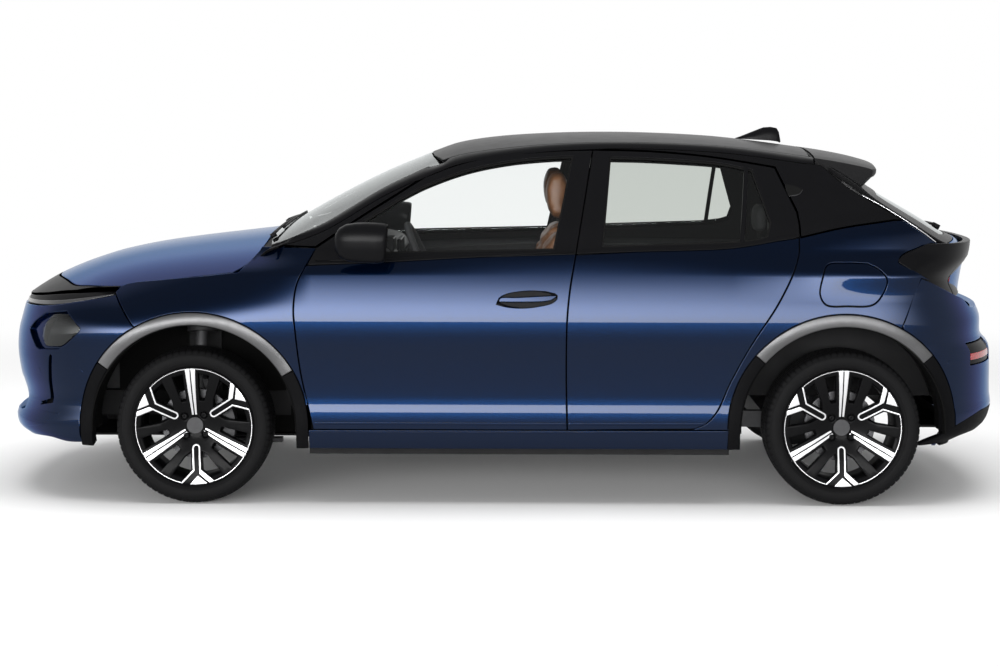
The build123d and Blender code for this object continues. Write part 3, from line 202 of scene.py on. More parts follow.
# ---------------------------------------------------------------- outlines
def smooth(points, pitch):
    """A curve through the points, as closely spaced points."""
    p = [np.array(q, float) for q in points]
    if len(p) == 1:
        return p
    if len(p) == 2:
        n = max(1, math.ceil(np.linalg.norm(p[1] - p[0]) / pitch))
        return [p[0] + (p[1] - p[0]) * i / n for i in range(n + 1)]
    p = [2 * p[0] - p[1]] + p + [2 * p[-1] - p[-2]]
    out = [p[1]]
    for a, b, c, d in zip(p, p[1:], p[2:], p[3:]):
        t1, t2, t3 = [np.linalg.norm(v) ** 0.5 + 1e-9 for v in (b - a, c - b, d - c)]
        mb = (c - b) + t2 * ((b - a) / t1 - (c - a) / (t1 + t2))
        mc = (c - b) + t2 * ((d - c) / t3 - (d - b) / (t2 + t3))
        n = max(2, math.ceil(np.linalg.norm(c - b) / pitch))
        for i in range(1, n + 1):
            t = i / n
            out.append((2 * t ** 3 - 3 * t * t + 1) * b + (t ** 3 - 2 * t * t + t) * mb
                       + (-2 * t ** 3 + 3 * t * t) * c + (t ** 3 - t * t) * mc)
    return out


def loop(*runs, pitch=14):
    """A closed anticlockwise outline of runs: two points are straight, more are smooth."""
    out = []
    for i, run in enumerate(runs):
        pts = smooth(run, pitch)
        follow = np.array(runs[(i + 1) % len(runs)][0], float)
        out += pts
        if np.linalg.norm(pts[-1] - follow) > pitch * 1.2:
            out += smooth((pts[-1], follow), pitch)
    keep = [out[0]]
    for q in out[1:]:
        if np.linalg.norm(q - keep[-1]) > pitch * 0.25:
            keep.append(q)
    if np.linalg.norm(keep[0] - keep[-1]) < pitch * 0.25:
        keep.pop()
    keep = np.array(keep)
    return keep if area(keep) > 0 else keep[::-1]


def arc(cx, cz, r, a0, a1, n=None):
    """Points on a circle from a0 to a1 degrees."""
    n = n or max(3, round(abs(a1 - a0) / 6))
    turns = [math.radians(a0 + (a1 - a0) * i / n) for i in range(n + 1)]
    return [(cx + r * math.cos(a), cz + r * math.sin(a)) for a in turns]


def area(p):
    q = np.roll(p, -1, 0)
    return 0.5 * float(np.sum(p[:, 0] * q[:, 1] - q[:, 0] * p[:, 1]))


def inset(p, d):
    """The outline moved to its left by d (inwards when it runs anticlockwise)."""
    e = np.roll(p, -1, 0) - p
    e /= np.linalg.norm(e, axis=1)[:, None] + 1e-12
    n = np.stack([-e[:, 1], e[:, 0]], 1)
    m = n + np.roll(n, 1, 0)
    m /= np.linalg.norm(m, axis=1)[:, None] + 1e-12
    scale = 1 / np.clip(np.sum(m * n, 1), 0.6, 1)
    return p + m * (d * scale)[:, None], m


def within(p, rings):
    """Which points lie inside the rings, holes left out."""
    p = np.asarray(p, float)
    odd = np.zeros(len(p), bool)
    for ring in rings:
        a, b = ring, np.roll(ring, -1, 0)
        for (x0, y0), (x1, y1) in zip(a, b):
            if y0 == y1:
                continue
            cross = (p[:, 1] < y0) != (p[:, 1] < y1)
            odd ^= cross & (p[:, 0] < (x1 - x0) * (p[:, 1] - y0) / (y1 - y0) + x0)
    return odd


def circle(cx, cy, r, n=24):
    return np.array([(cx + r * math.cos(2 * math.pi * i / n), cy + r * math.sin(2 * math.pi * i / n))
                     for i in range(n)])


# ---------------------------------------------------------------- meshes
def make(name, verts, faces, material, normals=None, mirror=False, flat=False):
    """A mesh object from points in millimetres."""
    verts = np.asarray(verts, float) * 0.001
    if mirror:
        verts = verts * (1, -1, 1)
        faces = [tuple(reversed(f)) for f in faces]
    mesh = bpy.data.meshes.new(name)
    mesh.from_pydata(verts.tolist(), [], [tuple(int(i) for i in f) for f in faces])
    mesh.validate()
    if not flat:
        mesh.polygons.foreach_set("use_smooth", [True] * len(mesh.polygons))
    if normals is not None and len(mesh.vertices) == len(normals):
        n = np.asarray(normals, float)
        if mirror:
            n = n * (1, -1, 1)
        mesh.normals_split_custom_set_from_vertices(n.tolist())
    mesh.update()
    o = bpy.data.objects.new(name, mesh)
    scene.collection.objects.link(o)
    if material is not None:
        mesh.materials.append(material)
    return o


def put(o, body, replaces=()):
    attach(o, body)
    if replaces:
        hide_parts(*([replaces] if isinstance(replaces, str) else replaces))
    return o


def normal_at(surf, u, v, toward):
    e = 1.5
    a, b, c, d = [np.array(surf(*q)) for q in ((u + e, v), (u - e, v), (u, v + e), (u, v - e))]
    n = np.cross(a - b, c - d)
    n /= np.linalg.norm(n) + 1e-12
    return n if toward(n, (a + b) / 2) else -n


def outward(n, p):
    """True when n points away from the middle of the car."""
    core = np.array((clamp(p[0], -1300, 1400) * 0.9, 0, 620))
    return float(np.dot(n, p - core)) > 0


def proud(surf, u, v, by):
    """A point that stands off a surface."""
    return np.array(surf(u, v)) + normal_at(surf, u, v, outward) * by


def sunk(surf, depth):
    return lambda u, v: proud(surf, u, v, -depth)


def sheet_data(surf, loops, pitch, hem, radius, lift, back, toward):
    """Points, faces and normals of a panel with rolled edges; loops are its outline, then its holes."""
    rings = [p if (area(p) > 0) == (i == 0) else p[::-1] for i,
             p in enumerate(np.asarray(q, float) for q in loops)]
    inner = [inset(p, radius)[0] for p in rings]
    low, high = np.min(inner[0], 0), np.max(inner[0], 0)
    us, vs = [np.arange(math.ceil(low[i] / pitch), math.floor(high[i] / pitch) + 1) * pitch for i in (0, 1)]
    grid = np.array([(a, b) for a in us for b in vs]).reshape(-1, 2)
    flat = np.concatenate(inner)
    tree = KDTree(len(flat))
    for i, q in enumerate(flat):
        tree.insert((q[0], q[1], 0), i)
    tree.balance()
    grid = [g for g in grid[within(grid, inner)] if tree.find((g[0], g[1], 0))[2] > 0.5 * pitch]
    starts = np.cumsum([0] + [len(p) for p in inner])
    edges = [(a + i, a + (i + 1) % (b - a)) for a, b in zip(starts.tolist(),
                                                            starts[1:].tolist()) for i in range(b - a)]
    out, _, faces, source, _, _ = delaunay_2d_cdt([Vector(q) for q in [*flat, *grid]], edges, [], 0, 1e-4)
    where = {s: i for i, src in enumerate(source) for s in src}
    keep = within(np.array([np.mean([out[k] for k in f], 0) for f in faces]), inner)

    def place(u, v, depth):
        n = normal_at(surf, u, v, toward)
        return np.array(surf(u, v)) + n * (lift - depth), n

    verts, normals = [list(q) for q in zip(*[place(q[0], q[1], 0) for q in out])]
    tris = []
    for f in (f for f, k in zip(faces, keep) if k):
        a, b, c = [verts[k] for k in f]
        tris.append(tuple(f) if toward(np.cross(b - a, c - a), (a + b + c) / 3) else tuple(reversed(f)))
    ahead_of = {(f[i], f[(i + 1) % len(f)]) for f in tris for i in range(len(f))}
    # the walls turn the same way as the skin they grow from
    same = (where[0], where[1]) in ahead_of

    def wall(a, b, c, d):
        return (d, c, b, a) if same else (a, b, c, d)

    walls, caps = [], []
    turns = [(radius * (1 - math.sin(t)), radius * (1 - math.cos(t)), t) for t in (math.pi / 6, math.pi / 3,
                                                                                   math.pi / 2)]
    for p, start in zip(rings, starts):
        n = len(p)
        previous = [where[start + i] for i in range(n)]
        for shift, depth, turn in turns + [(0, hem, math.pi / 2)] * (hem > radius):
            q, m = inset(p, shift)
            row = list(range(len(verts), len(verts) + n))
            for (u, v), (du, dv) in zip(q, m):
                point, nn = place(u, v, depth)
                e = place(u - du * 2, v - dv * 2, depth)[0] - point
                e -= nn * np.dot(e, nn)
                e /= np.linalg.norm(e) + 1e-12
                verts.append(point)
                normals.append(nn * math.cos(turn) + e * math.sin(turn))
            walls += [wall(previous[k], previous[(k + 1) % n], row[(k + 1) % n], row[k]) for k in range(n)]
            previous = row
        caps.append(previous)
    if back:
        offset = len(verts)
        for q in out:
            p, n = place(q[0], q[1], hem)
            verts.append(p)
            normals.append(-n)
        tris += [tuple(reversed([k + offset for k in f])) for f in tris]
        for cap, start in zip(caps, starts):
            n = len(cap)
            ring = [where[start + i] + offset for i in range(n)]
            walls += [wall(cap[k], cap[(k + 1) % n], ring[(k + 1) % n], ring[k]) for k in range(n)]
    return verts, tris + walls, normals


def panel(name, surf, loops, body, material, pitch=20, hem=12, radius=3, lift=0, back=False, both=True,
          toward=outward, replaces=()):
    """A panel on the left side and, when both is true, its mirror image on the right."""
    data = sheet_data(surf, loops if isinstance(loops, list) else [loops], pitch, hem, radius, lift, back,
                      toward)
    for word in ("left", "right") if both else ("",):
        o = make(f"{name}_{word}" if word else name, *data[:2], material, data[2], word == "right")
        nodes = [r.replace("@", word) for r in ([replaces] if isinstance(replaces, str) else replaces)]
        put(o, body.replace("@", word), nodes if word != "right" or "@" in str(replaces) else ())


def strip_faces(rows, n, closed=True, ring=False, caps=False, over=False):
    """Faces between rows of n points. Closed rows join their ends, a ring joins the last row to the first,
    caps fill the two end rows, and over turns every face over."""
    faces = []
    for i in range(rows if ring else rows - 1):
        a, b = i * n, (i + 1) % rows * n
        for k in range(n if closed else n - 1):
            j = (k + 1) % n
            faces.append((a + k, b + k, b + j, a + j) if over else (a + k, a + j, b + j, b + k))
    if caps:
        ends = [tuple(range(n))[::-1], tuple((rows - 1) * n + k for k in range(n))]
        faces += [e[::-1] for e in ends] if over else ends
    return faces


def lathe(points, n=96):
    """Turn a closed (radius, across) outline about the Y axis."""
    turns = [2 * math.pi * i / n for i in range(n)]
    verts = [(r * math.cos(a), y, r * math.sin(a)) for a in turns for r, y in points]
    return verts, strip_faces(n, len(points), ring=True)


def tube(path, radius, n=12, caps=True):
    """A round bar along a path of points."""
    path = [np.array(p, float) for p in path]
    radius = radius if isinstance(radius, list) else [radius] * len(path)
    verts = []
    for i, p in enumerate(path):
        t = path[min(i + 1, len(path) - 1)] - path[max(i - 1, 0)]
        t /= np.linalg.norm(t)
        a = np.cross(t, (0.1, 0.2, 1.0))
        a /= np.linalg.norm(a)
        b = np.cross(t, a)
        for w in (2 * math.pi * k / n for k in range(n)):
            verts.append(p + (a * math.cos(w) + b * math.sin(w)) * radius[i])
    return verts, strip_faces(len(path), n, caps=caps, over=True)


def brick(low, high):
    """A box as points and faces."""
    (a, b, c), (d, e, f) = low, high
    verts = [(x, y, z) for x in (a, d) for y in (b, e) for z in (c, f)]
    return verts, [(0, 1, 3, 2), (4, 6, 7, 5), (0, 4, 5, 1), (2, 3, 7, 6), (0, 2, 6, 4), (1, 5, 7, 3)]


def join(*parts):
    verts, faces = [], []
    for v, f in parts:
        k = len(verts)
        verts += list(v)
        faces += [tuple(i + k for i in q) for q in f]
    return verts, faces


def split_edges(o, degrees):
    o.modifiers.new("split", "EDGE_SPLIT").split_angle = math.radians(degrees)


def fix_normals(mesh):
    b = bmesh.new()
    b.from_mesh(mesh)
    bmesh.ops.recalc_face_normals(b, faces=b.faces)
    b.to_mesh(mesh)
    b.free()


def bevel(o, width):
    m = o.modifiers.new("bevel", "BEVEL")
    m.width, m.segments, m.limit_method, m.angle_limit = width * 0.001, 3, "ANGLE", math.radians(35)
    m.harden_normals = True


def solid(name, parts, finish, body="body", flat=False, width=0):
    """Joined parts as one piece; a width in millimetres rounds its edges."""
    o = make(name, *join(*parts), finish, flat=flat)
    if width:
        bevel(o, width)
    return put(o, body, ())


# ---------------------------------------------------------------- materials
def new_material(name):
    m = bpy.data.materials.new(name)
    m.use_nodes = True
    return m, m.node_tree


def noise_on(tree, where, scale, detail):
    n = tree.nodes.new("ShaderNodeTexNoise")
    n.inputs["Scale"].default_value = scale
    n.inputs["Detail"].default_value = detail
    tree.links.new(where.outputs["Object"], n.inputs["Vector"])
    return n.outputs["Fac"]


def spread_over(tree, value, low, high, socket):
    """Drives a socket between low and high with a value that runs from 0 to 1."""
    n = tree.nodes.new("ShaderNodeMapRange")
    n.inputs["To Min"].default_value, n.inputs["To Max"].default_value = low, high
    tree.links.new(value, n.inputs["Value"])
    tree.links.new(n.outputs["Result"], socket)


def material(name, color, rough=0.5, metal=0.0, coat=0.0, coat_rough=0.03, grain=(60, 0.05), bump=None,
             flake=None, tint=None, spec=0.5, edge=(1, 1, 1)):
    """A procedural surface: colour and roughness drift a little, with an optional fine bump."""
    m, t = new_material(name)
    b = t.nodes["Principled BSDF"]
    for key, value in (("Metallic", metal), ("Coat Weight", coat), ("Coat Roughness", coat_rough),
                       ("Specular IOR Level", spec), ("Specular Tint", (*edge, 1))):
        b.inputs[key].default_value = value
    where = t.nodes.new("ShaderNodeTexCoord")
    drift = noise_on(t, where, grain[0], 4)
    spread_over(t, drift, max(0.0, rough - grain[1]), min(1.0, rough + grain[1]), b.inputs["Roughness"])
    mix = t.nodes.new("ShaderNodeMix")
    mix.data_type = "RGBA"
    mix.inputs["A"].default_value = (*color, 1)
    mix.inputs["B"].default_value = (*(tint or [c * 0.82 for c in color]), 1)
    t.links.new(mix.outputs["Result"], b.inputs["Base Color"])
    if flake:
        cells = t.nodes.new("ShaderNodeTexVoronoi")
        cells.inputs["Scale"].default_value = flake
        t.links.new(where.outputs["Object"], cells.inputs["Vector"])
        drift = cells.outputs["Distance"]
    t.links.new(drift, mix.inputs["Factor"])
    if bump:
        lift = t.nodes.new("ShaderNodeBump")
        lift.inputs["Strength"].default_value = bump[1]
        lift.inputs["Distance"].default_value = 0.001
        t.links.new(noise_on(t, where, bump[0], 3), lift.inputs["Height"])
        t.links.new(lift.outputs["Normal"], b.inputs["Normal"])
    return m


def glass_material(name, color, clear=1.0, rough=0.02):
    """Thin glass: mostly seen through, with a mirror-like sheen at a slant."""
    m, t = new_material(name)
    t.nodes.remove(t.nodes["Principled BSDF"])
    where, through, shine, edge, mix = [t.nodes.new("ShaderNode" + kind) for kind in (
        "TexCoord", "BsdfTransparent", "BsdfGlossy", "Fresnel", "MixShader")]
    spread_over(t, noise_on(t, where, 30, 2), rough, rough * 1.6, shine.inputs["Roughness"])
    edge.inputs["IOR"].default_value = 1.5
    through.inputs["Color"].default_value = (*[c * clear for c in color], 1)
    shine.inputs["Color"].default_value = (0.9, 0.93, 0.93, 1)
    for a, b in ((edge.outputs["Fac"], mix.inputs["Fac"]), (through.outputs["BSDF"], mix.inputs[1]),
                 (shine.outputs["BSDF"], mix.inputs[2]),
                 (mix.outputs["Shader"], t.nodes["Material Output"].inputs["Surface"])):
        t.links.new(a, b)
    return m


BLUE = material("blue_paint", (0.0011, 0.0064, 0.0225), 0.22, 0.9, 0.34, 0.02, (25, 0.02), None, 900,
                (0.0008, 0.0074, 0.0285), 0.0, (0.30, 0.52, 0.95))
GLOSS = material("gloss_black", (0.004, 0.004, 0.0045), 0.34, 0, 0.05, 0.12, (20, 0.04), spec=0.03)
SATIN = material("satin_black", (0.0075, 0.0075, 0.008), 0.42, 0, 0, 0.1, (80, 0.06), (900, 0.10), spec=0.05)
GRAIN = material("grained_black", (0.0036, 0.0036, 0.0040), 0.52, 0, 0, 0.1, (60, 0.08), (700, 0.35),
                 spec=0.02)
LINER = material("liner_felt", (0.003, 0.003, 0.003), 0.9, 0, 0, 0.1, (90, 0.05), (400, 0.5), spec=0.05)
SILVER = material("silver_trim", (0.085, 0.085, 0.087), 0.38, 0.8, 0, 0.15, (40, 0.05), (900, 0.06))
MACHINED = material("machined_alloy", (0.60, 0.60, 0.61), 0.34, 0.55, 0, 0.05, (200, 0.05))
RIMDARK = material("black_alloy", (0.0034, 0.0034, 0.0037), 0.36, 0, 0.03, 0.1, (50, 0.04), spec=0.03)
STEEL = material("steel", (0.065, 0.065, 0.068), 0.36, 0.9, 0, 0.1, (120, 0.08))
CHROME = material("bright_trim", (0.80, 0.80, 0.82), 0.12, 1.0, 0, 0.1, (40, 0.04))
IRON = material("cast_grey", (0.030, 0.030, 0.032), 0.6, 0.4, 0, 0.1, (60, 0.1), (300, 0.4))
UNDER = material("underbody", (0.006, 0.006, 0.0065), 0.6, 0.1, 0, 0.1, (14, 0.1), (200, 0.3), spec=0.12)
RUBBER = material("tyre_rubber", (0.0050, 0.0050, 0.0053), 0.60, 0, 0, 0.1, (40, 0.08), (500, 0.2),
                  spec=0.05)
SEAL = material("seal_rubber", (0.004, 0.004, 0.004), 0.7, 0, 0, 0.1, (90, 0.05), (500, 0.2), spec=0.08)
DASH = material("dash_plastic", (0.022, 0.022, 0.024), 0.55, 0, 0, 0.1, (70, 0.08), (800, 0.4))
TAN = material("tan_leather", (0.095, 0.040, 0.016), 0.48, 0, 0, 0.1, (30, 0.08), (600, 0.35),
               None, (0.22, 0.095, 0.04))
CLOTH = material("dark_cloth", (0.030, 0.030, 0.033), 0.85, 0, 0, 0.1, (200, 0.05), (1500, 0.5))
REDLENS = material("red_lens", (0.30, 0.004, 0.006), 0.16, 0, 0.3, 0.05, (40, 0.03), (300, 0.1))
MIRROR = material("mirror_glass", (0.85, 0.87, 0.88), 0.03, 1.0, 0, 0.1, (20, 0.01))
GLASS = glass_material("tinted_glass", (0.775, 0.80, 0.775))
CLEAR = glass_material("clear_glass", (0.975, 0.99, 0.985))
DARKGLASS = glass_material("privacy_glass", (0.10, 0.105, 0.105))
LENS = glass_material("lamp_lens", (0.96, 0.97, 0.98), 0.92)
PLATE = material("blank_plate", (0.55, 0.55, 0.54), 0.4)
DARKLAMP = material("dark_lamp", (0.02, 0.02, 0.022), 0.2, 0.2, 0.3, 0.05, (30, 0.05))

# ---------------------------------------------------------------- lines on the side of the car
GAP = 2.2
FRONT_SHUT = [(-735, 300), (-755, 389), (-783, 526), (-800, 668), (-808, 772), (-796, 868), (-764, 936)]
SPLIT = [(257, 301), (252, 521), (254, 723), (265, 849), (287, 981)]
FRAME_FRONT = [(-725, 1006), (-560, 1118), (-407, 1214), (-304, 1278)]
TOP_FRONT = [(-304, 1278), (-197, 1319), (-89, 1348), (19, 1365), (128, 1375), (236, 1382), (357, 1385)]
TOP_REAR = [(357, 1385), (585, 1379), (806, 1360), (988, 1333), (1076, 1318)]
REAR_SHUT = [(1154, 1148), (1162, 1094), (1158, 1030), (1156, 991), (1125, 902), (1067, 788), (972, 640),
             (892, 489), (842, 377), (800, 328), (760, 309)]
BELT = [(-764, 938), (-456, 951), (-99, 971), (287, 984), (529, 994), (883, 1006), (980, 1019), (1060, 1033),
        (1160, 1049)]
FLAP = [(1351, 957), (1262, 948), (1240, 893), (1232, 830), (1256, 792), (1340, 787), (1436, 792),
        (1472, 826),
        (1494, 888), (1466, 930), (1420, 954)]


def moved(points, dx=0.0, dz=0.0):
    return [(x + dx, z + dz) for x, z in points]


def between(points, low, high):
    return [p for p in points if low <= p[0] <= high]


def mirrored(points):
    """The points of an outline on the other side of the middle, in the order that carries it on."""
    return [(x, -y) for x, y in points[::-1]]


def other_end(points):
    return [(-u, z) for u, z in points[::-1]]


TRIM_EDGE = ARCH + TRIM + 1.5
LOW_REAR_SHUT = [p for p in REAR_SHUT if p[1] < 1045]
# front wing
wing_loop = loop([(-1518, 826), (-1490, 853), (-1326, 877), (-1171, 892), (-1055, 904)],
                 [(-1030, 908), (-960, 985)], [(-950, 1002), (-729, 1002)],
                 moved(FRONT_SHUT[::-1][:-1], -GAP) + [(-769, 440)],
                 arc(FRONT, TYRE_R, TRIM_EDGE, 17.5, 119.5), [(-1430, 700), (-1518, 826)])
panel("wing", side, wing_loop, "body", BLUE, 16, 14, 2.5, 0.6, replaces="front_wings")

# doors: painted skin, black frame, trim and core
low_front = loop(moved(FRONT_SHUT, GAP), between(BELT, -760, 288), moved(SPLIT[::-1], -GAP),
                 [(255, 301), (-733, 300)])
low_rear = loop(moved(SPLIT, GAP), between(BELT, 290, 1158) + [(1157, 1047)],
                moved(LOW_REAR_SHUT, -GAP), [(758, 307), (259, 301)])
GLASS_FRONT = loop([(204, 1002), (280, 1361)],
                   [(280, 1361), (182, 1357), (20, 1340), (-143, 1305), (-304, 1245), (-409, 1190)],
                   [(-409, 1190), (-600, 1072)], [(-612, 1040), (-600, 984)])
GLASS_REAR = loop([(1036, 1052), (1052, 1104)], [(1052, 1104), (985, 1310)],
                  [(985, 1310), (860, 1335), (695, 1348), (560, 1355), (424, 1358)],
                  [(424, 1358), (389, 1012)],
                  [(915, 1030), (1000, 1040)])
up_front = loop([(-757, 941), (-727, 1002)], moved(FRAME_FRONT[:-1], GAP, -GAP), moved(TOP_FRONT, 0, -GAP),
                [(355, 1383), (286, 984)], between(BELT, -755, 286)[::-1])
up_rear = loop([(360, 1383), (290, 987)], between(BELT, 292, 1158),
               [(1158, 1052), (1159, 1094), (1151, 1146)],
               [(1151, 1146), (1074, 1314)], moved(TOP_REAR[::-1], 0, -GAP))
handle_hole = loop([(-20, 792), (-10, 816), (20, 832), (100, 844), (170, 842)],
                   [(206, 834), (216, 826), (214, 812)],
                   [(214, 812), (196, 798), (140, 784), (80, 778), (20, 782), (-20, 792)])
panel("front_door_skin", side, [low_front, handle_hole], "front_door_@", BLUE, 18, 14, 2.5, 0.6)
panel("rear_door_skin", side, low_rear, "rear_door_@", BLUE, 18, 14, 2.5, 0.6)
panel("front_door_frame", side, [up_front, GLASS_FRONT], "front_door_@", GLOSS, 18, 18, 2.5, 0.6,
      replaces="front_door_@")
panel("rear_door_frame", side, [up_rear, GLASS_REAR], "rear_door_@", GLOSS, 18, 18, 2.5, 0.6,
      replaces="rear_door_@")
panel("front_door_glass_v", side, inset(GLASS_FRONT, 1)[0],
      "front_door_@", CLEAR, 40, 3, 1, -9, replaces="front_door_glass_@")
panel("rear_door_glass_v", side, inset(GLASS_REAR, 1)[0],
      "rear_door_@", GLASS, 40, 3, 1, -9, replaces="rear_door_glass_@")
# the door behind its skin
core_front = loop(moved(FRONT_SHUT, 7), moved(FRAME_FRONT[:-1], 8, -6), moved(TOP_FRONT, 0, -8),
                  [(349, 1377), (281, 981)], moved(SPLIT[::-1], -7), [(250, 308), (-728, 308)])
core_rear = loop(moved(SPLIT, 7), [(295, 984), (364, 1377)], moved(TOP_REAR, 0, -8),
                 [(1068, 1312), (1146, 1144)],
                 moved(REAR_SHUT, -7, 0), [(758, 315), (262, 309)])
panel("front_door_core", side, [core_front, GLASS_FRONT], "front_door_@", SATIN, 60, 28, 2, -12, True)
panel("rear_door_core", side, [core_rear, GLASS_REAR], "rear_door_@", SATIN, 60, 28, 2, -12, True)
card_front = loop([(-688, 318), (-688, 950)], [(230, 968), (224, 318)])
card_rear = loop([(312, 330), (312, 968)], [(1104, 968), (1096, 900), (1036, 790), (940, 640), (860, 495),
                                            (810, 385),
                                           (765, 342)])
panel("front_door_card", side, card_front, "front_door_@", DASH, 60, 60, 10, -38, True)
panel("rear_door_card", side, card_rear, "rear_door_@", DASH, 60, 60, 10, -38, True)

# ---------------------------------------------------------------- body side
quarter = loop(moved([(1158, 1050)] + LOW_REAR_SHUT, GAP), [(748, 302), (905, 302)],
               arc(REAR, TYRE_R, TRIM_EDGE, 180, 61.5), [(1556, 718), (1628, 897)],
               [(1661, 888), (1598, 926)], [(1542, 962), (1560, 984), (1684, 1026)],
               [(1712, 1022), (1572, 1114)], [(1532, 1113), (1329, 1084), (1164, 1047)])
panel("quarter", side, [quarter, loop(FLAP)], "body", BLUE, 16, 14, 2.5, 0.6, replaces="body_side_@")
sill = loop([(-752, 222), (-752, 296)], [(-735, 297), (886, 299)], [(884, 223), (-752, 222)])
panel("sill", side, sill, "body", BLUE, 18, 20, 3, 0.6)
flap_small = inset(loop(FLAP), 4)[0]
panel("fuel_flap_skin", side, flap_small, "fuel_flap", BLUE, 14, 7, 2, 0.6, both=False, replaces="fuel_flap")
v, f, normals = sheet_data(side, [flap_small], 14, 3, 1, 0.6, False, outward)
put(make("flap_blank_right", v, f, BLUE, normals, True), "body", ())


# black band from the windscreen pillar along the roof rail to the rear pillar
def meet(x, top):
    """Height at which the side meets a top surface."""
    low, high = 950.0, 1445.0
    for _ in range(30):
        z = (low + high) / 2
        low, high = (z, high) if top(x, half_width(x, z))[2] > z else (low, z)
    return low


def top_of(x):
    return screen if x < -262 else roof


RAIL_ROLL = 20
rail_x = [-905 + i * 24 for i in range(int((1246 + 905) / 24) + 1)]
rail_z = [meet(x, top_of(x)) for x in rail_x]
rail_z = [float(np.mean(rail_z[max(0, i - 2):i + 3])) for i in range(len(rail_z))]


def rail_height(x):
    return float(np.interp(x, rail_x, rail_z))


def roof_edge(x):
    knots = [(-905, 742), (-700, 706), (-440, 645), (-238, 586), (-150, 577), (100, 574), (900, 572),
             (1240, 566)]
    return float(np.interp(x, [k[0] for k in knots], [k[1] for k in knots]))


rail_top = [(x, rail_height(x) - RAIL_ROLL) for x in rail_x if x >= -850]
band = loop(rail_top, [(1262, rail_height(1246) - 26), (1354, 1248), (1570, 1116)],
            [(1532, 1117), (1329, 1088), (1165, 1051)], [(1163, 1094), (1155, 1150)],
            [(1155, 1150), (1077, 1320)],
            moved(TOP_REAR[::-1], 0, GAP), moved(TOP_FRONT[::-1], 0, GAP),
            [(-304, 1281), (-407, 1217), (-560, 1121), (-727, 1009)], [(-731, 1007), (-868, 1010)])
panel("pillar_band", side, band, "body", GLOSS, 20, 16, 2.5, 0.6)
verts = []
for x in rail_x:
    z = rail_height(x)
    low = np.array(side(x, z - RAIL_ROLL)) + (0, -0.6, 0)
    edge = roof_edge(x) + 2
    end = np.array(top_of(x)(x, -edge)) if x < -262 or x > -230 else np.array((x, -edge, z + 4))
    knee = np.array(side(x, z))
    verts += [low * (1 - t) ** 2 + knee * 2 * t * (1 - t) + end * t * t for t in np.linspace(0, 1, 9)]
    verts.append(verts[-1] + np.array((0, 2, -14)))
faces = strip_faces(len(rail_x), 10, closed=False, over=True)
for word in ("left", "right"):
    put(make(f"roof_rail_{word}", verts, faces, GLOSS, None, word == "right"), "body", ())


# ---------------------------------------------------------------- roof, screen, bonnet
roof_loop = loop([(-236, 584), (-279, 350), (-296, 0), (-279, -350), (-236, -584)],
                 [(-150, -577), (100, -573), (500, -571), (900, -571), (1222, -565)],
                 [(1236, -300), (1238, 0), (1236, 300)],
                 [(1222, 565), (900, 571), (500, 571), (100, 573), (-150, 577)])
panel("roof_skin", roof, roof_loop, "body", GLOSS, 26, 14, 3, 0.4, both=False, replaces="roof_panel")
glass_loop = loop([(-905, -740), (-925, -500), (-938, 0), (-925, 500), (-905, 740)],
                  [(-905, 740), (-700, 704), (-440, 643), (-240, 584)],
                  [(-240, 584), (-283, 350), (-300, 0), (-283, -350), (-240, -584)],
                  [(-240, -584), (-440, -643), (-700, -704), (-905, -740)])
panel("windscreen_v", screen, glass_loop, "body", GLASS, 30, 4, 1.5, 0, both=False, replaces="windscreen")
panel("windscreen_band", screen, [glass_loop, inset(glass_loop, 38)[0]], "body", GLOSS, 30, 2, 1, -4.5,
      both=False)
bonnet_edge = [(-1858, 0), (-1855, -130), (-1837, -261), (-1803, -370), (-1768, -459), (-1704, -593),
               (-1638, -653),
               (-1570, -700), (-1506, -733)]
bonnet_side = [(-1500, -737), (-1326, -757), (-1171, -774), (-1054, -786)]
bonnet_back = [(-1050, -785), (-1013, -743), (-974, -619), (-957, -475), (-954, 0)]
bonnet_loop = loop(bonnet_edge, bonnet_side, bonnet_back + mirrored(bonnet_back)[1:], mirrored(bonnet_side),
                   mirrored(bonnet_edge))
panel("bonnet_skin", bonnet, bonnet_loop, "bonnet", BLUE, 18, 14, 3, 0.6, both=False, replaces="bonnet")
mask_edge = [(x - 6, y) for x, y in bonnet_edge[:-1]] + [(-1500, -735)]
mask_nose = [(-1700, -650), (-1850, -520), (-1950, -320), (-1985, 0)]
mask_loop = loop(mirrored(mask_edge)[:-1] + mask_edge, mask_nose + mirrored(mask_nose[:-1]))
panel("nose_mask", bonnet, mask_loop, "bonnet", GLOSS, 20, 24, 3, 0.2, both=False)

# ---------------------------------------------------------------- front end
SIDE_TOP = [(-1505, 819), (-1529, 813), (-1638, 792), (-1763, 771), (-1828, 762), (-1900, 757)]


def on_front(points):
    return [(front_u(x, z), z) for x, z in points]


def on_rear(points):
    return [(rear_u(x, z), z) for x, z in points]


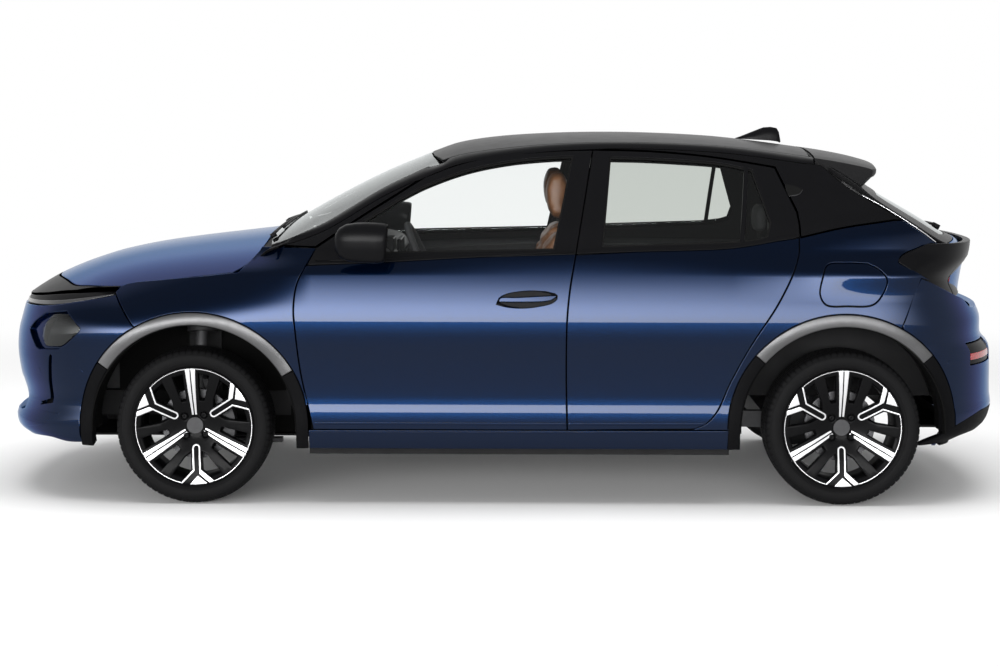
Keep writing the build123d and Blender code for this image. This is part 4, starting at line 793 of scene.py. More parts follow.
arch_edge = on_front(arc(FRONT, TYRE_R, TRIM_EDGE, 120.5, 180, 14))
top_line = [(-1075, 817)] + on_front(SIDE_TOP[1:]) + [(-420, 752), (-200, 750), (0, 750)]
foot = [(arch_edge[-1][0], 236), (-860, 232), (-787, 243), (-560, 232), (-300, 226), (0, 226)]
edge_line = [(front_u(-1431, 697), 697)] + arch_edge[1:]
bumper_loop = loop(top_line + other_end(top_line[:-1]), [(-top_line[0][0], 817), (-edge_line[0][0], 697)],
                   other_end(edge_line[::-1]), other_end(foot[::-1]) + foot[::-1][1:], edge_line[::-1])
lamp_hole = loop([(-741, 736), (-779, 741), (-867, 751)], [(-952, 690), (-950, 676)],
                 [(-915, 640), (-877, 613)],
                 [(-850, 600), (-731, 592)], [(-706, 601), (-627, 668)],
                 [(-627, 668), (-666, 699), (-741, 736)])
slot_hole = loop([(-797, 565), (-806, 577), (-816, 570)], [(-789, 405), (-779, 381)],
                 [(-779, 381), (-692, 366)],
                 [(-690, 378), (-765, 396)], [(-765, 396), (-797, 565)])
intake = loop([(-470, 452), (470, 452)], [(520, 330), (440, 318)], [(440, 318), (-440, 318)],
              [(-440, 318), (-520, 330)])
panel("front_bumper_skin", wrap_front, [bumper_loop, lamp_hole, lamp_hole * (-1, 1), slot_hole,
                                        slot_hole * (-1, 1),
                                        intake], "body", BLUE, 18, 22, 3, 0.6, both=False,
      replaces="front_bumper")


# ---------------------------------------------------------------- rear end
rear_arch_edge = on_rear(arc(REAR, TYRE_R, TRIM_EDGE, 60.5, 0, 14))
rear_top = on_rear([(1630, 895), (1664, 880), (1774, 826)]) + [(rear_u(1833, 800), 798), (-640, 770),
                                                               (-300, 764),
                                                                (0, 764)]
rear_foot = [(rear_arch_edge[-1][0], 232), (-900, 236), (-600, 238), (-300, 240), (0, 240)]
box = loop([(rear_at(-718, 540), 541), (rear_at(-472, 540), 541)],
           [(rear_at(-472, 630), 631), (rear_at(-718, 630), 631)])
rear_loop = loop([(rear_u(1557, 716), 716), rear_top[0]], rear_top + other_end(rear_top[:-1]),
                 [(-rear_top[0][0], 895), (-rear_u(1557, 716), 716)], other_end(rear_arch_edge[::-1]),
                 other_end(rear_foot[::-1]) + rear_foot[::-1][1:], rear_arch_edge[::-1])
panel("rear_bumper_skin", wrap_rear, [rear_loop, box, box * (-1, 1)], "body", BLUE, 18, 22, 3, 0.6,
      both=False,
      replaces="rear_bumper")
panel("rear_lamp_v", wrap_rear, inset(box, 1.5)[0], "body", GLOSS, 20, 24, 5, -4,
      replaces="rear_lamps")
red_bar = loop([(rear_at(-712, 562), 562), (rear_at(-480, 562), 562)],
               [(rear_at(-480, 588), 588), (rear_at(-712, 588), 588)])
panel("rear_lamp_red", wrap_rear, red_bar, "body", REDLENS, 20, 6, 2, -2)


# ---------------------------------------------------------------- tailgate, spoiler and blade
BLADE_ROW = 5.6
V_BLADE, V_END = hatch_v(BLADE_ROW), hatch_v(10)
glass_head, glass_foot = hatch_v(3.0), hatch_v(5.05)
upper = [(hatch_v(row), -hatch_half(row) + 4) for row in (0.05, 1, 2, 3, 4, 5, BLADE_ROW)]
window_side = [(glass_head, -470), (hatch_v(3.4), -490), (hatch_v(4.2), -496), (glass_foot - 20, -486)]
window = loop(window_side, [(glass_foot, -400), (glass_foot + 16, 0), (glass_foot, 400)],
              mirrored(window_side),
              [(glass_head + 6, 0), (glass_head, -470)])
hatch_upper = loop(upper, mirrored(upper))
panel("tailgate_upper", hatch, [hatch_upper, window], "tailgate", GLOSS, 20, 22, 4, 0.6, both=False,
      replaces="tailgate")
panel("tailgate_glass_v", hatch, inset(window, 1.5)[0], "tailgate", DARKGLASS, 26, 4, 1.5, -3, both=False,
      replaces="tailgate_glass")
lower = [(V_BLADE + 3, -hatch_half(BLADE_ROW) + 4), (hatch_v(7), -592), (hatch_v(8), -600),
         (hatch_v(9), -600),
         (V_END - 3, -594)]
hatch_lower = loop(lower, mirrored(lower))
panel("tailgate_lower", hatch, hatch_lower, "tailgate", BLUE, 20, 22, 4, 0.6, both=False)
core = [(v, y + 14) for v, y in upper + lower[1:]]
inner_loop = loop(core, mirrored(core))
panel("tailgate_core", hatch, [inner_loop, inset(window, -6)[0]], "tailgate", DASH, 50, 26, 3, -13, True,
      both=False)
SPOILER_ROWS, SPOILER_HALF = 45, 562
spoiler_lip = [(9, -3), (13, -10), (12, -22), (6, -31), (-4, -36), (-30, -62), (-52, -82), (-78, -92),
               (-110, -84),
               (-150, -60), (-190, -40)]
verts = []
for y in (SPOILER_HALF * (-1 + 2 * i / (SPOILER_ROWS - 1)) for i in range(SPOILER_ROWS)):
    end = float(np.interp(abs(y), (0, 330, 500, 546, SPOILER_HALF), (1524, 1517, 1504, 1491, 1478)))
    head = [spoiler_top(1246 + (end - 1260) * t, y) for t in np.linspace(0, 1, 14)]
    x, _, z = head[-1]
    tuck = 3 * ease((abs(y) - 500) / (SPOILER_HALF - 500))
    verts += [(px, y, pz + 0.5 - tuck) for px, _, pz in head]
    verts += [(px, y, pz - tuck) for px, pz in [(x + dx, z + dz) for dx,
                                                dz in spoiler_lip] + [(1248, z - 16)]]
spoiler = make("spoiler_skin", verts, strip_faces(SPOILER_ROWS, len(verts) // SPOILER_ROWS, caps=True),
               GLOSS)
split_edges(spoiler, 38)
put(spoiler, "tailgate", "tailgate_spoiler")

# the black blade that runs round the tail, with the lamps in it
blade_top = on_rear([(1540, 964), (1560, 982), (1684, 1026)])
blade_low = on_rear([(1545, 954), (1600, 924), (1666, 883), (1774, 828), (1833, 806)])
blade_end = rear_at(-614, 900)
corner_blade = loop(blade_top, [blade_top[-1], (blade_end, 1022)], [(blade_end, 1022), (blade_end, 800)],
                    [(blade_end, 800), blade_low[-1]], blade_low[::-1])


def blade_depth(z):
    """The tail blade stands proud at the top and is hollow below its edge."""
    return 26 * ease((z - 900) / 70) - 20 * math.exp(-((z - 872) / 34) ** 2)


def blade_surface(u, z):
    x, y, h = wrap_rear(u, z)
    ledge = ease((abs(blade_top[0][0]) - abs(u)) / 260)
    return (x - 46 * ledge + blade_depth(z) * ledge, y * (1 + 0.006 * ledge), h)


panel("corner_blade", blade_surface, corner_blade, "body", GLOSS, 16, 26, 4, 0.6)
middle_blade = loop([(-606, 1020), (606, 1020)], [(606, 1020), (606, 806)], [(606, 806), (-606, 806)],
                    [(-606, 806), (-606, 1020)])


def blade_middle(y, z):
    return (wrap_rear(rear_at(clamp(y, -612, 612), z), z)[0] - 46 + blade_depth(z), y, z)


panel("tail_blade", blade_middle, middle_blade, "tailgate", GLOSS, 20, 30, 4, 0.6, both=False,
      replaces="tailgate_blade")
lamp_strip = loop([(-600, 884), (-60, 884)], [(-60, 864), (-600, 864)])
panel("tail_lamp_strip", blade_middle, lamp_strip, "tailgate", REDLENS, 16, 4, 2, 3)

# ---------------------------------------------------------------- front details
lens_loop = loop([(-1066, 822), (-948, 806), (-797, 790), (-560, 778), (-300, 772)],
                 [(-300, 756), (-700, 768), (-797, 775), (-948, 797), (-1066, 818)])
panel("day_lamp", wrap_front, lens_loop, "body", DARKLAMP, 16, 10, 2, -4,
      replaces="front_lamps")
under_mask = loop([(-1073, 834), (-948, 826), (-797, 815), (-560, 795), (-300, 785), (0, 783)]
                  + [(300, 785), (560, 795), (797, 815), (948, 826), (1073, 834)],
                  [(1073, 822), (797, 778), (420, 756), (0, 753), (-420, 756), (-797, 778), (-1073, 822)])
panel("nose_panel", wrap_front, under_mask, "body", GLOSS, 20, 10, 2, -8, both=False, replaces="grille_bar")


def bowl(depth, cu, cz, ru, rz):
    """A hollow behind the nose."""
    def surf(u, z):
        fall = max(0.0, 1 - ((u - cu) / ru) ** 2 - ((z - cz) / rz) ** 2)
        return proud(wrap_front, u, z, -(6 + depth * math.sqrt(fall)))
    return surf


inner_lamp = loop([(-779, 737), (-816, 744), (-868, 746)], [(-948, 690), (-946, 676)],
                  [(-877, 620), (-853, 609)],
                  [(-764, 606), (-736, 640)], [(-731, 676), (-742, 704)])
panel("lamp_recess", sunk(wrap_front, 22), [lamp_hole, inner_lamp], "body", BLUE, 14, 3, 1.5, 6)
panel("lamp_case", bowl(60, -840, 676, 130, 90), inset(inner_lamp, -3)[0], "body", GLOSS, 10, 3, 1, -14)
panel("lamp_glass", wrap_front, inset(inner_lamp, 1)[0], "body", LENS, 14, 6, 2, -10)
panel("slot_back", sunk(wrap_front, 26), inset(slot_hole, -4)[0], "body",
      GRAIN, 14, 3, 1)
panel("intake_back", sunk(wrap_front, 60), inset(intake, -8)[0], "body", LINER, 40, 3, 1, both=False)
bars = [tube([proud(wrap_front, u, z, -34) for u in range(-470, 471, 47)], 4.5, 8) for z in range(330, 452,
                                                                                                  20)]
solid("intake_bars", bars, GLOSS)
for name, surf, u, z, radius in (("side", wrap_front, -958, 514, 12), ("front", wrap_front, -721, 506, 11),
                                 ("mid", wrap_front, -300, 500, 11), ("rear", wrap_rear, -330, 500, 11),
                                 ("rear_side", wrap_rear, rear_u(1752, 560), 560, 12)):
    panel(f"park_sensor_{name}", surf, circle(u, z, radius, 28), "body", BLUE, radius, 4, 1.2, 1.2)
lip_loop = loop([(-840, 345), (-644, 343), (-511, 326)], [(-511, 326), (-300, 312), (0, 308)]
                + [(300, 312), (511, 326)], [(511, 326), (644, 343), (840, 345)],
                [(746, 288), (560, 262), (0, 250), (-560, 262), (-746, 288)])


def lip_surface(u, z):
    """The lip stands out level from the nose."""
    share = ease((z - 245) / 60) * ease((350 - z) / 50) * ease((840 - abs(u)) / 260)
    n = normal_at(wrap_front, u, z, outward)
    n[2] = 0
    return np.array(wrap_front(u, z)) + n * 5 * share


panel("front_lip", lip_surface, lip_loop, "body", BLUE, 14, 10, 3, 1.5, both=False)
diffuser = loop([(-1010, 238), (-900, 300), (-700, 352), (-560, 356), (0, 330), (560, 356), (700, 352),
                 (900, 300), (1010, 238)], [(1010, 236), (0, 240), (-1010, 236)])
panel("rear_diffuser", wrap_rear, diffuser, "body", GRAIN, 18, 16, 4, 2.5, both=False)
plate = loop([(-262, 505), (262, 505)], [(262, 395), (-262, 395)])
panel("rear_plate", wrap_rear, plate, "body", PLATE, 30, 5, 2, 5, both=False)
panel("front_plate", wrap_front, loop([(-260, 600), (260, 600)], [(260, 490), (-260, 490)]), "body",
      PLATE, 30, 5, 2, 4, both=False)

# ---------------------------------------------------------------- arch trims
UNROLL = 430
HALF_TURN = math.pi * UNROLL


def trim_surface(axle):
    """u is a length round the arch on a circle of UNROLL mm, straight past its ends; v is the way out."""
    def surf(u, v):
        r, a = ARCH + v, clamp(u / UNROLL, 0, math.pi)
        x, z = axle + r * math.cos(a), TYRE_R + r * math.sin(a) + min(u, 0) - max(u - HALF_TURN, 0)
        swell = 5.0 * math.sin(math.pi * clamp(0.12 + 0.8 * clamp((v - 2) / TRIM))) ** 0.8
        return (x, -(half_width(x, z) + swell - 2), z)
    return surf


def toward_left(n, p):
    return n[1] < 0


for name, axle, first, last in (("front", FRONT, 30, 146), ("rear", REAR, 40, 140)):
    a0, a1 = math.radians(first) * UNROLL, math.radians(last) * UNROLL
    for part, low, high, finish, slot in (("silver", a0, a1, SILVER, "silver_trim"),
                                          ("back", -84, a0 - 1.5, GRAIN, "black_trim"),
                                          ("ahead", a1 + 1.5, HALF_TURN + 84, GRAIN, "black_trim")):
        shape = loop([(low, 0.5), (high, 0.5)], [(high, TRIM - 0.5), (low, TRIM - 0.5)])
        panel(f"{name}_arch_{part}", trim_surface(axle), shape, "body", finish, 12, 34, 4, 0,
              toward=toward_left,
              replaces="arch_trims" if part == "silver" else ())

# ---------------------------------------------------------------- wheels
SPOKE_Y = -92
RING_IN, RING_OUT = 226.5, 231.5
NUT_CIRCLE, NUT_POCKET = 54, 14.5


def dish(r):
    """How far the wheel's face lies in from its widest plane at each radius."""
    return float(np.interp(r, (0, 44, 62, 90, 130, 175, 215, 234), (44, 43, 38, 29, 17, 8, 3, 2)))


def face_surface(u, v):
    return (u, SPOKE_Y + dish(math.hypot(u, v)), v)


def turned(points, a):
    """Points (x, z) or (x, y, z) turned about the hub."""
    c, s = math.cos(math.radians(a)), math.sin(math.radians(a))
    return [(p[0] * c - p[-1] * s, *p[1:-1], p[0] * s + p[-1] * c) for p in points]


def wheel_sheet(loops, hem, radius, lift, pitch):
    return sheet_data(face_surface, loops, pitch, hem, radius, lift, False, toward_left)[:2]


def outline(points, a, pitch=10):
    """A closed straight-sided outline turned about the hub."""
    runs = [(points[i], points[(i + 1) % len(points)]) for i in range(len(points))]
    return np.array(turned(loop(*runs, pitch=pitch), a))


def ribbon(path, width):
    """A closed outline that follows a path at one width."""
    left, right = [], []
    for i, (x, z) in enumerate(path):
        a, b = path[max(i - 1, 0)], path[min(i + 1, len(path) - 1)]
        before = Vector((x - a[0], z - a[1])) if i else Vector((b[0] - x, b[1] - z))
        after = Vector((b[0] - x, b[1] - z)) if i < len(path) - 1 else before
        across = before.normalized() + after.normalized()
        across = Vector((-across.y, across.x)).normalized()
        stretch = 1 / max(across.dot(Vector((-after.y, after.x)).normalized()), 0.5)
        dx, dz = across.x * width * stretch / 2, across.y * width * stretch / 2
        left.append((x + dx, z + dz))
        right.append((x - dx, z - dz))
    return left + right[::-1]


# one third of the face: a straight twin spoke pointing up and a forked one pointing down
windows, strips = [], []
for k in range(3):
    turn = 120 * k
    for flip in (1, -1):
        for shape in ([(25, 98), (30, 217), (75, 206), (45, 96)],
                      [(77, 68), (137, 105), (155, 163), (119, 192), (80, 99)]):
            windows.append(outline([(x * flip, z) for x, z in shape], turn, 9))
        strips.append(outline([(2.6 * flip, 42), (2.1 * flip, 231), (20 * flip, 230), (9.5 * flip, 42)],
                              turn))
    fork = [(12.5, -176)] + arc(0, -89, 12.5, 0, 180, 12) + [(-12.5, -174), (-62, -221)]
    strips.append(outline(ribbon(fork, 5.8), turn, 8))
    strips.append(outline([(9.6, -177), (15.4, -172), (67, -218), (50, -226), (10.5, -190)], turn))
    strips.append(outline([(2.5, -195), (-30.5, -229), (4, -231), (40, -227)], turn))
    start, end = 270 + 17 + turn, 390 - 16.4 + turn
    strips.append(np.array(arc(0, 0, RING_OUT, start, end, 60) + arc(0, 0, RING_IN, end, start, 60)))
nuts, pockets = [], []
nut_profile = [(0.01, -57), (9, -57), (11.5, -54.5), (11.5, -34), (0.01, -34)]
for k in range(4):
    a = math.radians(46 + 90 * k)
    cx, cz = NUT_CIRCLE * math.cos(a), NUT_CIRCLE * math.sin(a)
    pockets.append(circle(cx, cz, NUT_POCKET, 28))
    v, f = lathe(nut_profile, 24)
    nuts.append(([(cx + x, y, cz + z) for x, y, z in v], f))
wheel_face = wheel_sheet([circle(0, 0, 234, 140), circle(0, 0, 28, 40)] + pockets + windows, 30, 3, 0, 11)
strip_parts = [wheel_sheet([s], 4, 0.8, 1.4, 12) for s in strips]
lip_profile = [(231, -92), (233, -98), (235, -97), (235.5, -93), (235.5, -90), (216, -84), (212, -84)]
barrel_profile = [(213, -82), (207, -74), (205, 0), (206, 88), (214, 90), (218, 98), (234, 98), (234, 90),
                  (218, 86),
                  (216, -76), (218, -82)]
cap_profile = [(0.01, -55), (17, -54.5), (24, -52.5), (26.5, -49), (26.5, -34), (0.01, -34)]
hub_profile = [(26, -36), (74, -34), (78, -30), (78, -8), (26, -8)]
disc_profile = [(45, -6), (62, -6), (66, -4), (70, 0), (139, 0), (140, 2), (140, 18), (139, 20), (70, 20),
                (45, 20)]
vents = [brick((76, 5, -1.5), (141, 15, 1.5)) for _ in range(36)]
vents = [(turned(v, 10 * i), f) for i, (v, f) in enumerate(vents)]
WHEEL_TURN = {"front": 3.1, "rear": 0.0}


def tyre_mesh():
    """A tyre with ribs, shoulder blocks and small cuts, as real geometry."""
    half = [(-91, 236), (-97, 243), (-101, 252), (-102.3, 264), (-102, 276), (-99, 286), (-97.5, 288),
            (-95, 293),
            (-91, 297.5), (-86, 300.2), (-78, 302.3), (-70, 303.5), (-56, 304.3), (-53, 304.4), (-51.5, 297),
            (-45.5, 297), (-44, 304.6), (-30, 304.9), (-21, 305), (-19.5, 297.5), (-13.5, 297.5), (-12, 305)]
    across = half + [(0, 305)] + [(-y, r) for y, r in half[::-1]]
    columns = 504
    verts = []
    for i in range(columns):
        for y, r in across:
            drop, lean = 0.0, 0.0
            if abs(y) > 56 and r > 290:
                drop = 5.5 * (i % 7 == 0)
            elif 21 < abs(y) < 50 and r > 303:
                drop = 3.5 * (i % 7 == 4)
            elif abs(y) <= 12 and r > 303:
                drop = 3.0 * (i % 14 == 9)
            if r > 290:
                lean = 0.0035 * (abs(y) - 50) / 40
            turn = 2 * math.pi * i / columns + lean
            verts.append(((r - drop) * math.cos(turn), y, (r - drop) * math.sin(turn)))
    return verts, strip_faces(columns, len(across), closed=False, ring=True)


side_rings = [lathe([(r - 1.4, y + 0.6), (r - 0.7, y - 0.5), (r + 0.7, y - 0.5), (r + 1.4, y + 0.6)], 128)
              for r, y in ((250, -100.6), (283, -100.4))]
# each kind of piece: its parts, its finish and whether its edges are split for shading
wheel_kinds = (("wheel_body", [wheel_face], RIMDARK, True), ("wheel_strips", strip_parts, MACHINED, True),
               ("wheel_lip", [lathe(lip_profile, 128)], RIMDARK, True),
               ("wheel_barrel", [lathe(barrel_profile, 96)], RIMDARK, False),
               ("wheel_cap", [lathe(cap_profile, 40)], RIMDARK, True), ("wheel_nuts", nuts, RIMDARK, False),
               ("wheel_hub", [lathe(hub_profile, 64)], RIMDARK, True),
               ("brake_disc", [lathe(disc_profile, 96)], STEEL, True), ("brake_vents", vents, IRON, False),
               ("tyre", [tyre_mesh()], RUBBER, False), ("tyre_rings", side_rings, RUBBER, False))
for kind, parts, finish, split in wheel_kinds:
    pattern = make(kind, *join(*parts), finish)
    fix_normals(pattern.data)
    pattern.data.polygons.foreach_set("use_smooth", [True] * len(pattern.data.polygons))
    for axle, where in ((FRONT, "front"), (REAR, "rear")):
        for word, sign in (("left", -1), ("right", 1)):
            o = bpy.data.objects.new(f"{kind}_{where}_{word}", pattern.data)
            scene.collection.objects.link(o)
            turn = math.radians(0 if kind.startswith("tyre") else -WHEEL_TURN[where])
            o.matrix_world = (Matrix.Translation((axle * 0.001, sign * HALF_TRACK * 0.001, TYRE_R * 0.001))
                              @ Matrix.Rotation(math.pi * (sign > 0), 4, "Z") @ Matrix.Rotation(turn, 4,
                                                                                                "Y"))
            nodes = {"wheel_body": f"{where}_wheel_{word}", "tyre": f"{where}_tyre_{word}"}.get(kind, ())
            put(o, f"{where}_wheel_{word}", nodes)
            if split:
                split_edges(o, 35)
    bpy.data.objects.remove(pattern)

# ---------------------------------------------------------------- body structure behind the skins
inner_ring_hole = loop([(-693, 312), (-693, 940)], [(-690, 1010), (-560, 1108), (-407, 1203), (-304, 1262)],
                       moved(TOP_FRONT, 0, -20)[1:-1] + [(357, 1366)] + moved(TOP_REAR, -6, -20)[1:-1],
                       [(1052, 1300), (1128, 1142)], moved(REAR_SHUT[1:], -26, 4))
outer_ring = loop([(-755, 224), (-755, 1000)], [(-840, 1011), (-860, 1046)],
                  [(-674, 1100), (-439, 1240), (-224, 1332)],
                  [(-224, 1332), (200, 1390), (800, 1380), (1230, 1340)], [(1340, 1245), (1560, 1112)],
                  [(1640, 1030), (1640, 900)], [(1560, 716), (1330, 758), (1120, 716)],
                  [(1120, 716), (905, 480)],
                  [(890, 300), (890, 224)])


def hinge_room(x, z):
    """How far behind the skin the body's inner side lies: deeper where the doors' front edges swing in."""
    front = clamp((-640 - x) / 40)
    rear = clamp((x - 225) / 30) * clamp((370 - x) / 30) * (z < 420)
    return 34 + max(94 * front, 52 * rear)


def inner_side(x, z):
    return (x, -half_width(x, z) + hinge_room(x, z), z)


panel("inner_side", inner_side, [outer_ring, inner_ring_hole], "body", SATIN, 50, 24, 4, 0, True)
post = loop([(226, 300), (214, 640), (236, 980)], [(236, 980), (306, 1372)], [(306, 1372), (414, 1372)],
            [(414, 1372), (338, 980)], [(338, 980), (300, 640), (292, 300)])
panel("middle_post", sunk(side, 104), post, "body", SATIN, 50, 30, 5, 0, True)

# ---------------------------------------------------------------- mouldings and bright lines
belt_front = loop(between(BELT, -740, 280), [(281, 994)], moved(between(BELT, -720, 280)[::-1], 0, 13),
                  [(-727, 955)])
belt_rear = loop([(292, 985)] + between(BELT, 529, 1100) + [(1146, 1047)], [(1142, 1059)],
                 moved(between(BELT, 529, 1100)[::-1], 0, 13), [(294, 996)])
panel("belt_trim_front", side, belt_front, "front_door_@", GLOSS, 20, 5, 2, 4.5)
panel("belt_trim_rear", side, belt_rear, "rear_door_@", GLOSS, 20, 5, 2, 4.5)
bar = loop([(926, 1022), (954, 1322)], [(954, 1322), (971, 1318)], [(971, 1318), (944, 1024)])
panel("quarter_bar", side, bar, "rear_door_@", GLOSS, 18, 12, 2, 2.2)


def line_strip(points, width):
    pts = np.array(smooth(points, 12))
    e = np.gradient(pts, axis=0)
    e /= np.linalg.norm(e, axis=1)[:, None]
    n = np.stack([-e[:, 1], e[:, 0]], 1) * (width / 2)
    return np.concatenate([pts + n, (pts - n)[::-1]])


for name, ring, body in (("front", GLASS_FRONT, "front_door_@"), ("rear", GLASS_REAR, "rear_door_@")):
    panel(f"{name}_window_seal", side, [inset(ring, -3)[0], inset(ring, 6)[0]], body, SEAL, 18, 8, 1.6, -2.5)
panel("pillar_line", side, line_strip([(1416, 1212), (1480, 1177), (1572, 1121), (1660, 1062), (1706, 1028)],
                                      3.6),
      "body", CHROME, 14, 4, 1.4, 1.6)
panel("sill_line", side, loop([(-748, 286), (886, 288)], [(886, 293), (-748, 291)]), "body", BLUE, 30, 4,
      1.4, 2.0)
for where, low, high in (("front", [(-726, 318), (252, 318)], [(252, 330), (-727, 330)]),
                         ("rear", [(263, 318), (790, 320)], [(800, 332), (262, 330)])):
    panel(f"door_foot_{where}", side, loop(low, high), f"{where}_door_@", BLUE, 30, 4, 3, 1.8)

# ---------------------------------------------------------------- door handles
def cup_surface(x, z):
    """The hollow behind the front handle."""
    share = max(0.0, 1 - ((x - 98) / 124) ** 2 - ((z - 811) / 36) ** 2)
    return (x, -half_width(x, z) + 4 + 26 * share ** 0.6, z)


def grip_surface(x, z):
    """The handle's grip bows out a little between its ends."""
    return (x, -half_width(x, z) + 5 - 6 * max(0.0, 1 - ((x - 96) / 116) ** 2), z)


panel("front_handle_cup", cup_surface, inset(handle_hole, -1)[0], "front_door_@", GLOSS, 8, 3, 1, 0)
grip = loop([(-12, 800), (-8, 816), (60, 820), (130, 824), (212, 828)], [(212, 828), (212, 820), (190, 806)],
            [(190, 806), (160, 802), (60, 800), (-12, 800)])
panel("front_handle", grip_surface, grip, "front_door_@", BLUE, 8, 12, 4, 2, True)
# the rear handle's hollow is not modelled: a flat matte black patch, raised a little off the pillar, is
# painted shade where the hollow would be
rear_handle_shade = loop([(1112, 1254), (1150, 1247), (1182, 1233)], [(1182, 1233), (1168, 1217), (1124, 1208)],
              [(1124, 1208), (1115, 1230), (1112, 1254)])
panel("rear_handle_painted_shade", side, rear_handle_shade, "body", SEAL, 10, 3, 1.2, 2.2)
panel("rear_handle_rim", side, line_strip([(1181, 1232), (1168, 1216), (1126, 1207)], 3), "body", STEEL, 10,
      3, 1, 3)

# ---------------------------------------------------------------- mirrors
shell_rows = [(-640, 8, 10, 1034), (-636, 26, 36, 1034), (-622, 42, 56, 1034), (-596, 53, 70, 1035),
              (-560, 58, 76, 1035),
              (-520, 60.5, 78, 1035), (-480, 61, 78, 1034), (-456, 60.5, 76, 1033), (-446, 58, 73,
                                                                                     1033),
                                                                                     (-443, 55, 70, 1033),
              (-446, 51.5, 66, 1033), (-462, 50, 64, 1033)]
MIRROR_Y = -941.5


def squarish(x, ry, rz, z, lean, n=60):
    """A ring of points with full corners, leaning back towards its top."""
    turns = [2 * math.pi * k / n for k in range(n)]
    pairs = [[math.copysign(abs(q) ** power, q) for q, power in ((math.cos(a), 0.72), (math.sin(a), 0.78))]
             for a in turns]
    return [(x + lean * s, MIRROR_Y + ry * c, z + rz * s) for c, s in pairs]


shell = [p for x, ry, rz, z in shell_rows for p in squarish(x, ry, rz, z, 0 if x < -470 else 6)]
shell_faces = strip_faces(len(shell_rows), 60) + [tuple(range(60))[::-1]]
glass = squarish(-452, 50, 64, 1033, 6) + squarish(-456, 50, 64, 1033, 6)
foot_rows = [(-868, -612, -556, 976, 992), (-880, -616, -548, 972, 996), (-892, -618, -544, 968, 998),
             (-912, -612, -534, 972, 1004)]
foot = [((x0 + x1) / 2 + (x1 - x0) / 2 * math.cos(a), y, (z0 + z1) / 2 + (z1 - z0) / 2 * math.sin(a))
        for y, x0, x1, z0, z1 in foot_rows for a in (2 * math.pi * k / 24 for k in range(24))]
for word, flip in (("left", False), ("right", True)):
    door = f"front_door_{word}"
    put(make(f"mirror_shell_{word}", shell, shell_faces, GLOSS, None, flip), door, f"door_mirror_{word}")
    put(make(f"mirror_glass_v_{word}", glass, strip_faces(2, 60, caps=True, over=True), MIRROR, None, flip,
             True), door)
    put(make(f"mirror_foot_{word}", foot, strip_faces(len(foot_rows), 24), GLOSS, None, flip), door)

# ---------------------------------------------------------------- roof fin, cowl, wipers
fin_rows = [(980, 1, 1, 1424), (1000, 14, 8, 1424), (1040, 24, 26, 1422), (1080, 24, 44, 1420),
            (1100, 22, 52, 1419),
            (1130, 20, 56, 1417), (1156, 18, 54, 1414), (1166, 15, 40, 1412), (1172, 12, 12, 1410),
            (1174, 2, 2, 1408)]
verts = [(x + 4 * math.sin(t), half * math.cos(t), base - 2 + (high + 2) * math.sin(t) ** 0.7)
         for x, half, high, base in fin_rows for t in (math.pi * k / 28 for k in range(29))]
put(make("roof_fin", verts, strip_faces(len(fin_rows), 29, closed=False), GLOSS), "body", ())


def cowl_surface(x, y):
    sx, sy, sz = screen(x, y)
    share = clamp((x + 1040) / 110)
    return (sx, sy, bonnet(x, y)[2] * (1 - share) + sz * share - 12)


cowl_side = [(-960, 0), (-962, -475), (-976, -612), (-1000, -700)]
cowl_loop = loop(cowl_side, [(-1000, -700), (-880, -735)],
                 [(-880, -735), (-905, -500), (-912, 0), (-905, 500), (-880, 735)],
                 [(-880, 735), (-1000, 700)],
                 mirrored(cowl_side))
panel("cowl_v", cowl_surface, cowl_loop, "body", GRAIN, 24, 8, 2, 0, both=False, replaces="cowl_panel")


for name, pivot, tip in (("driver", (-912, -560), (-848, 60)), ("passenger", (-914, 60), (-842, 640))):
    along = [[a + (b - a) * t for a, b in zip(pivot, tip)] for t in np.linspace(0, 1, 14)]
    arm = [proud(screen, x, y, 15 - 4 * i / 13) for i, (x, y) in enumerate(along[:9])]
    blade, edge = [[proud(screen, x + 8, y, lift) for x, y in along[3:]] for lift in (7, 2.5)]
    solid(f"{name}_wiper", [tube(arm, [7 - 0.4 * i for i in range(len(arm))], 10), tube(blade, 4, 10),
                            tube(edge, 1.6, 6), tube([proud(screen, *pivot, lift) for lift in (2, 20)], 13,
                                                     20)],
          SATIN)
boss = [proud(hatch, hatch_v(5.12), 0, lift) for lift in (1, 22)]
arm = [proud(hatch, hatch_v(5.0), y, 14) for y in np.linspace(0, 180, 7)]
blade = [proud(hatch, hatch_v(4.9), y, 7) for y in np.linspace(20, 360, 12)]
solid("rear_wiper", [tube(boss, 17, 24), tube(arm, 6.5, 10), tube(blade, 4.5, 10)], SATIN,
      "tailgate")

# ---------------------------------------------------------------- seats
VOXEL, SWELL, PRESSURE, CLOTH_FRAMES = 0.012, 0.024, 4.0, 20


def pad(profile, half, middle, crown=14, bolster=0.0, narrow=0.0, rows=17):
    """A cushion's starting form: a side profile swept across, drawn in towards both ends.
    Each profile point is (x, z, how far it goes with the side bolsters in x, and in z)."""
    xs, zs, _, _ = zip(*profile)
    low, top, cx, cz = min(zs), max(zs), sum(xs) / len(xs), sum(zs) / len(zs)
    verts = []
    for t in (-1 + 2 * i / (rows - 1) for i in range(rows)):
        draw = 1 - crown / 100 * abs(t) ** 4
        side_lift = bolster * ease((abs(t) - 0.5) / 0.38)
        for x, z, wx, wz in profile:
            y = middle + t * half * (1 - narrow * ((z - low) / (top - low)) ** 2)
            verts.append((cx + (x - cx) * draw + wx * side_lift, y, cz + (z - cz) * draw + wz * side_lift))
    return verts, strip_faces(rows, len(profile), caps=True)


def applied(o):
    """The object's mesh with its modifiers run, as plain mesh data."""
    graph = bpy.context.evaluated_depsgraph_get()
    graph.update()
    mesh = bpy.data.meshes.new_from_object(o.evaluated_get(graph))
    o.modifiers.clear()
    o.data = mesh


